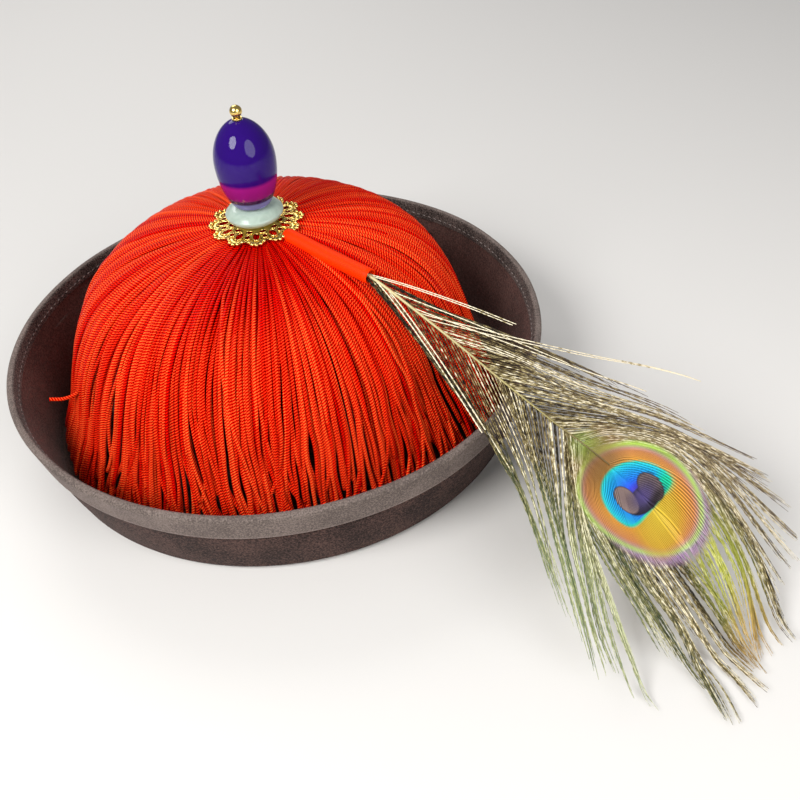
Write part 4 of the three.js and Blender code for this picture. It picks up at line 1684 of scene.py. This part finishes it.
    def vane(self, along: np.ndarray, across: np.ndarray) -> np.ndarray:
        """Works out places on the vane's surface.

        Args:
            along: Distances along +Y.
            across: Distances from the shaft, towards -X.

        Returns:
            The places in space.
        """
        free = self.shaft_height(along) + self.roll * across - self.tip_height
        up = self.tip_height + (free + np.sqrt(free**2 + self.softness**2)) / 2
        return np.stack([-across, along, up], axis=-1)

    def in_eye(self, along: np.ndarray, across: np.ndarray) -> np.ndarray:
        """Works out how far out in the eye's oval each place is.

        Args:
            along: Distances along +Y.
            across: Distances from the shaft, towards -X.

        Returns:
            0 in the oval's middle, 1 on its line and more past it.
        """
        long, wide, turn = self.eye_oval
        cos, sin = math.cos(math.radians(turn)), math.sin(math.radians(turn))
        u, v = along - self.eye_along - self.eye_middle[0], across - self.eye_middle[1]
        return np.hypot((u * cos + v * sin) / long, (v * cos - u * sin) / wide)

    def chart(self, along: np.ndarray, across: np.ndarray) -> np.ndarray:
        """The places on the eye's chart, in metres."""
        return np.stack([along - self.eye_along, across], axis=-1) * MM

    def between(self, lines: np.ndarray, place: np.ndarray) -> np.ndarray:
        """Draws lines at places among a row of lines.

        Args:
            lines: The row's lines, each with the same number of stations.
            place: Where each new line lies: 1.5 is midway from the second to the third.

        Returns:
            The new lines.
        """
        first = np.clip(place.astype(int), 0, len(lines) - 2)
        share = (place - first)[:, None, None]
        return lines[first] * (1 - share) + lines[first + 1] * share

    def combed(
        self, locks: Sequence[Profile], rng: Random
    ) -> tuple[np.ndarray, np.ndarray, np.ndarray, np.ndarray]:
        """Lays one side's barbs on the vane: even at the shaft, and drawn into locks past the eye.

        Args:
            locks: The locks' routes on the vane.
            rng: The source of the barbs' small differences.

        Returns:
            Each barb's place among the locks' routes, the number of its own lock, and at each
            station its place along and across the vane and its distance from the next barb.
        """
        last = len(locks) - 1
        t = np.linspace(0, 1, self.stations)
        lines = np.array([smooth_line(lock, self.stations) for lock in locks])
        share, routes = self.root
        place = np.interp(np.linspace(0, 1, self.per_side), [0, share, 1], [0, routes, last])
        place = np.concatenate([place, np.linspace(self.under_from, last - 0.2, self.under)])
        cuts = np.cumsum(rng.uniform(*self.lock_widths, self.locks_per_route * last))
        group = np.searchsorted(cuts, place)
        middle = np.interp(group, np.arange(len(cuts)), cuts - self.half_lock).clip(0, last)
        free, lock = self.between(lines, place), self.between(lines, middle)
        beside = np.diff(free, axis=0, append=2 * free[-1:] - free[-2:-1])
        ways = unit(np.gradient(free, axis=1))
        gap = np.abs(ways[..., 0] * beside[..., 1] - ways[..., 1] * beside[..., 0])
        open_air = np.clip((self.in_eye(free[..., 0], free[..., 1]) - 1) * 3, 0, 1)
        drawn = np.clip((t - 0.2) / 0.5, 0, 1) ** 1.3 * self.gather * open_air
        line = free + (lock - free) * drawn[..., None]

        # Some barbs are cut short, and keep all their stations
        reach = 1 - self.shortened * rng.random((len(place), 1)) ** 2.2
        spot = t * reach * (self.stations - 1)
        low = np.minimum(spot.astype(int), self.stations - 2)
        part = (spot - low)[..., None]
        rows = np.arange(len(place))[:, None]
        line = line[rows, low] * (1 - part) + line[rows, low + 1] * part
        return place[:, None], group, line, gap[rows, low]

    def side(self, name: str, locks: Sequence[Profile], rng: Random) -> None:
        """Builds the barbs of one side.

        Args:
            name: The piece's name.
            locks: The locks' routes on the vane.
            rng: The source of the barbs' small differences.
        """
        place, group, line, gap = self.combed(locks, rng)
        groups = self.locks_per_route * (len(locks) - 1) + 1
        lone = place.shape
        deep = np.arange(len(place))[:, None] >= self.per_side
        t = np.linspace(0, 1, self.stations)
        along, across = line[..., 0], line[..., 1]

        # Barbs wander freely, except in the eye, where calm holds them
        wander = rng.normal(0, 1, lone) * np.sin(t * rng.uniform(3, 12, lone) + rng.random(lone) * 6)
        inside = self.in_eye(along, across)
        past = np.clip((inside - 0.95) * 4, 0, 1)
        calm = np.maximum(past, self.calm)
        across = across + (wander * 0.7 + rng.normal(0, 0.7, lone)) * t**1.3 * calm
        across += np.clip((112 - along) / 40, 0, 1) * rng.normal(0, 0.9, lone).clip(-1.6, 1.6)
        routes = self.vane(along, across)
        bundle = np.clip((110 - along) / 35, 0, 1) * rng.normal(0, 0.8, lone).clip(-1.5, 1.5)
        level = rng.normal(0, 1, groups)[group][:, None]
        lift = rng.normal(0, 0.5, lone) * (0.5 + t**1.5) + level * 1.2 * t
        sunk, deeper, _ = self.sunk
        routes[..., 2] += lift * calm + bundle - sunk - deeper * deep * np.clip(2 - inside, 0, 1)
        routes[..., 2] = np.maximum(routes[..., 2], self.lowest)

        # A barb is beaded by its barbules, and in the eye as wide as the room beside it
        beads = 0.5 + 0.5 * np.sin(np.cumsum(rng.uniform(0.6, 2.0, along.shape), axis=1))
        thin, bead, thick = self.barb
        half = thin + bead * beads * (1 - 0.4 * t)
        root = np.clip((place - 3.5) / 2, 0, 1) * np.clip((0.5 - t) * 4, 0, 1)
        knit = np.maximum(1 - past, 0.75 * root)
        half = half + (np.clip(0.6 * gap, *self.knit) - half) * knit * ~deep
        half = half * np.minimum(1, 6 * (1 - t) + 0.25)
        faces = np.zeros_like(routes)
        faces[..., 0] = self.roll
        faces[..., 1] = rng.normal(0, 0.5, lone) * calm
        faces[..., 2] = 1
        shade = 0.4 * rng.random(groups)[group][:, None] + 0.6 * rng.random(lone)
        shade = shade - 0.3 * np.clip((3 - place) / 3, 0, 1)
        field = StrandField(routes, faces, half, np.full(half.shape, thick), 3)
        mesh = field.mesh(name, np.broadcast_to(shade, half.shape), self.chart(along, across))
        put(mesh, Tint.BARB, "feather")

    def loose(self) -> None:
        """Builds the few barbs that stand clear of the vane."""
        t = np.linspace(0, 1, self.stations)
        start, end, aside = np.array(self.strays)[..., None].transpose(1, 0, 2)
        along, across = start + (end - start) * t, aside * t**1.1
        routes = self.vane(along, across)
        routes[..., 2] += 1.5 * np.sin(math.pi * t)
        half = np.broadcast_to(0.36 + 0.12 * np.sin(np.arange(self.stations) * 1.9), along.shape)
        field = StrandField(routes, upward(routes), half, np.full(half.shape, 0.2), 4)
        mesh = field.mesh("barbs_loose", np.ones(half.shape), self.chart(along, across))
        put(mesh, Tint.BARB, "feather")

    def web(self) -> None:
        """Builds the thin web that the barbules of the eye knit between its barbs."""
        shape = bmesh.new()
        bmesh.ops.create_grid(shape, x_segments=48, y_segments=48, size=1)
        long, wide, turn = self.eye_oval
        spin = Matrix.Rotation(math.radians(turn), 2)
        chart = shape.loops.layers.uv.new("chart")
        lay = shape.loops.layers.uv.new("lay")
        places: dict[bmesh.types.BMVert, Vector] = {}
        for vert in shape.verts:
            x, y = vert.co.x, vert.co.y
            oval = Vector((x * math.sqrt(1 - y * y / 2) * long, y * math.sqrt(1 - x * x / 2) * wide))
            places[vert] = spin @ oval + Vector(self.eye_middle)
        for loop in (loop for face in shape.faces for loop in face.loops):
            place = places[loop.vert]
            loop[chart].uv = place * MM
            # The first coordinate sets where the barb finish paints its lines of shade across the web
            loop[lay].uv = (place.y / self.web_pitch / 3, place.x * MM)
        for vert, place in places.items():
            point = self.vane(np.array(self.eye_along + place.x), np.array(place.y))
            vert.co = Vector(point) * MM - Vector((0, 0, self.sunk[2] * MM))
        bmesh.ops.recalc_face_normals(shape, faces=shape.faces)
        bmesh.ops.solidify(shape, geom=list(shape.faces), thickness=self.web_thickness * MM)
        put(as_mesh(shape, "eye_web"), Tint.BARB, "feather")

    def build(self) -> None:
        """Builds the shaft, the web and both sides of the vane."""
        rng = np.random.default_rng(SEED + 1)
        stations, shown = 60, 45
        route = upright(smooth_line(self.shaft, stations))[:shown]
        quill = swept(route, np.linspace(*self.shaft_radii, shown), 12)
        put(as_mesh(quill, "plume_shaft"), Tint.QUILL, "feather")
        self.web()
        self.side("barbs_low_side", self.low_locks, rng)
        self.side("barbs_high_side", self.high_locks, rng)
        self.loose()


def main() -> None:
    """Builds the whole scene."""
    logging.basicConfig(level=logging.INFO, format="%(name)s %(message)s")
    for assembly in (Studio(), FeltBody(), Tassel(), Finial(), PlumeTube(), Feather()):
        assembly.build()


if __name__ == "__main__":
    main()
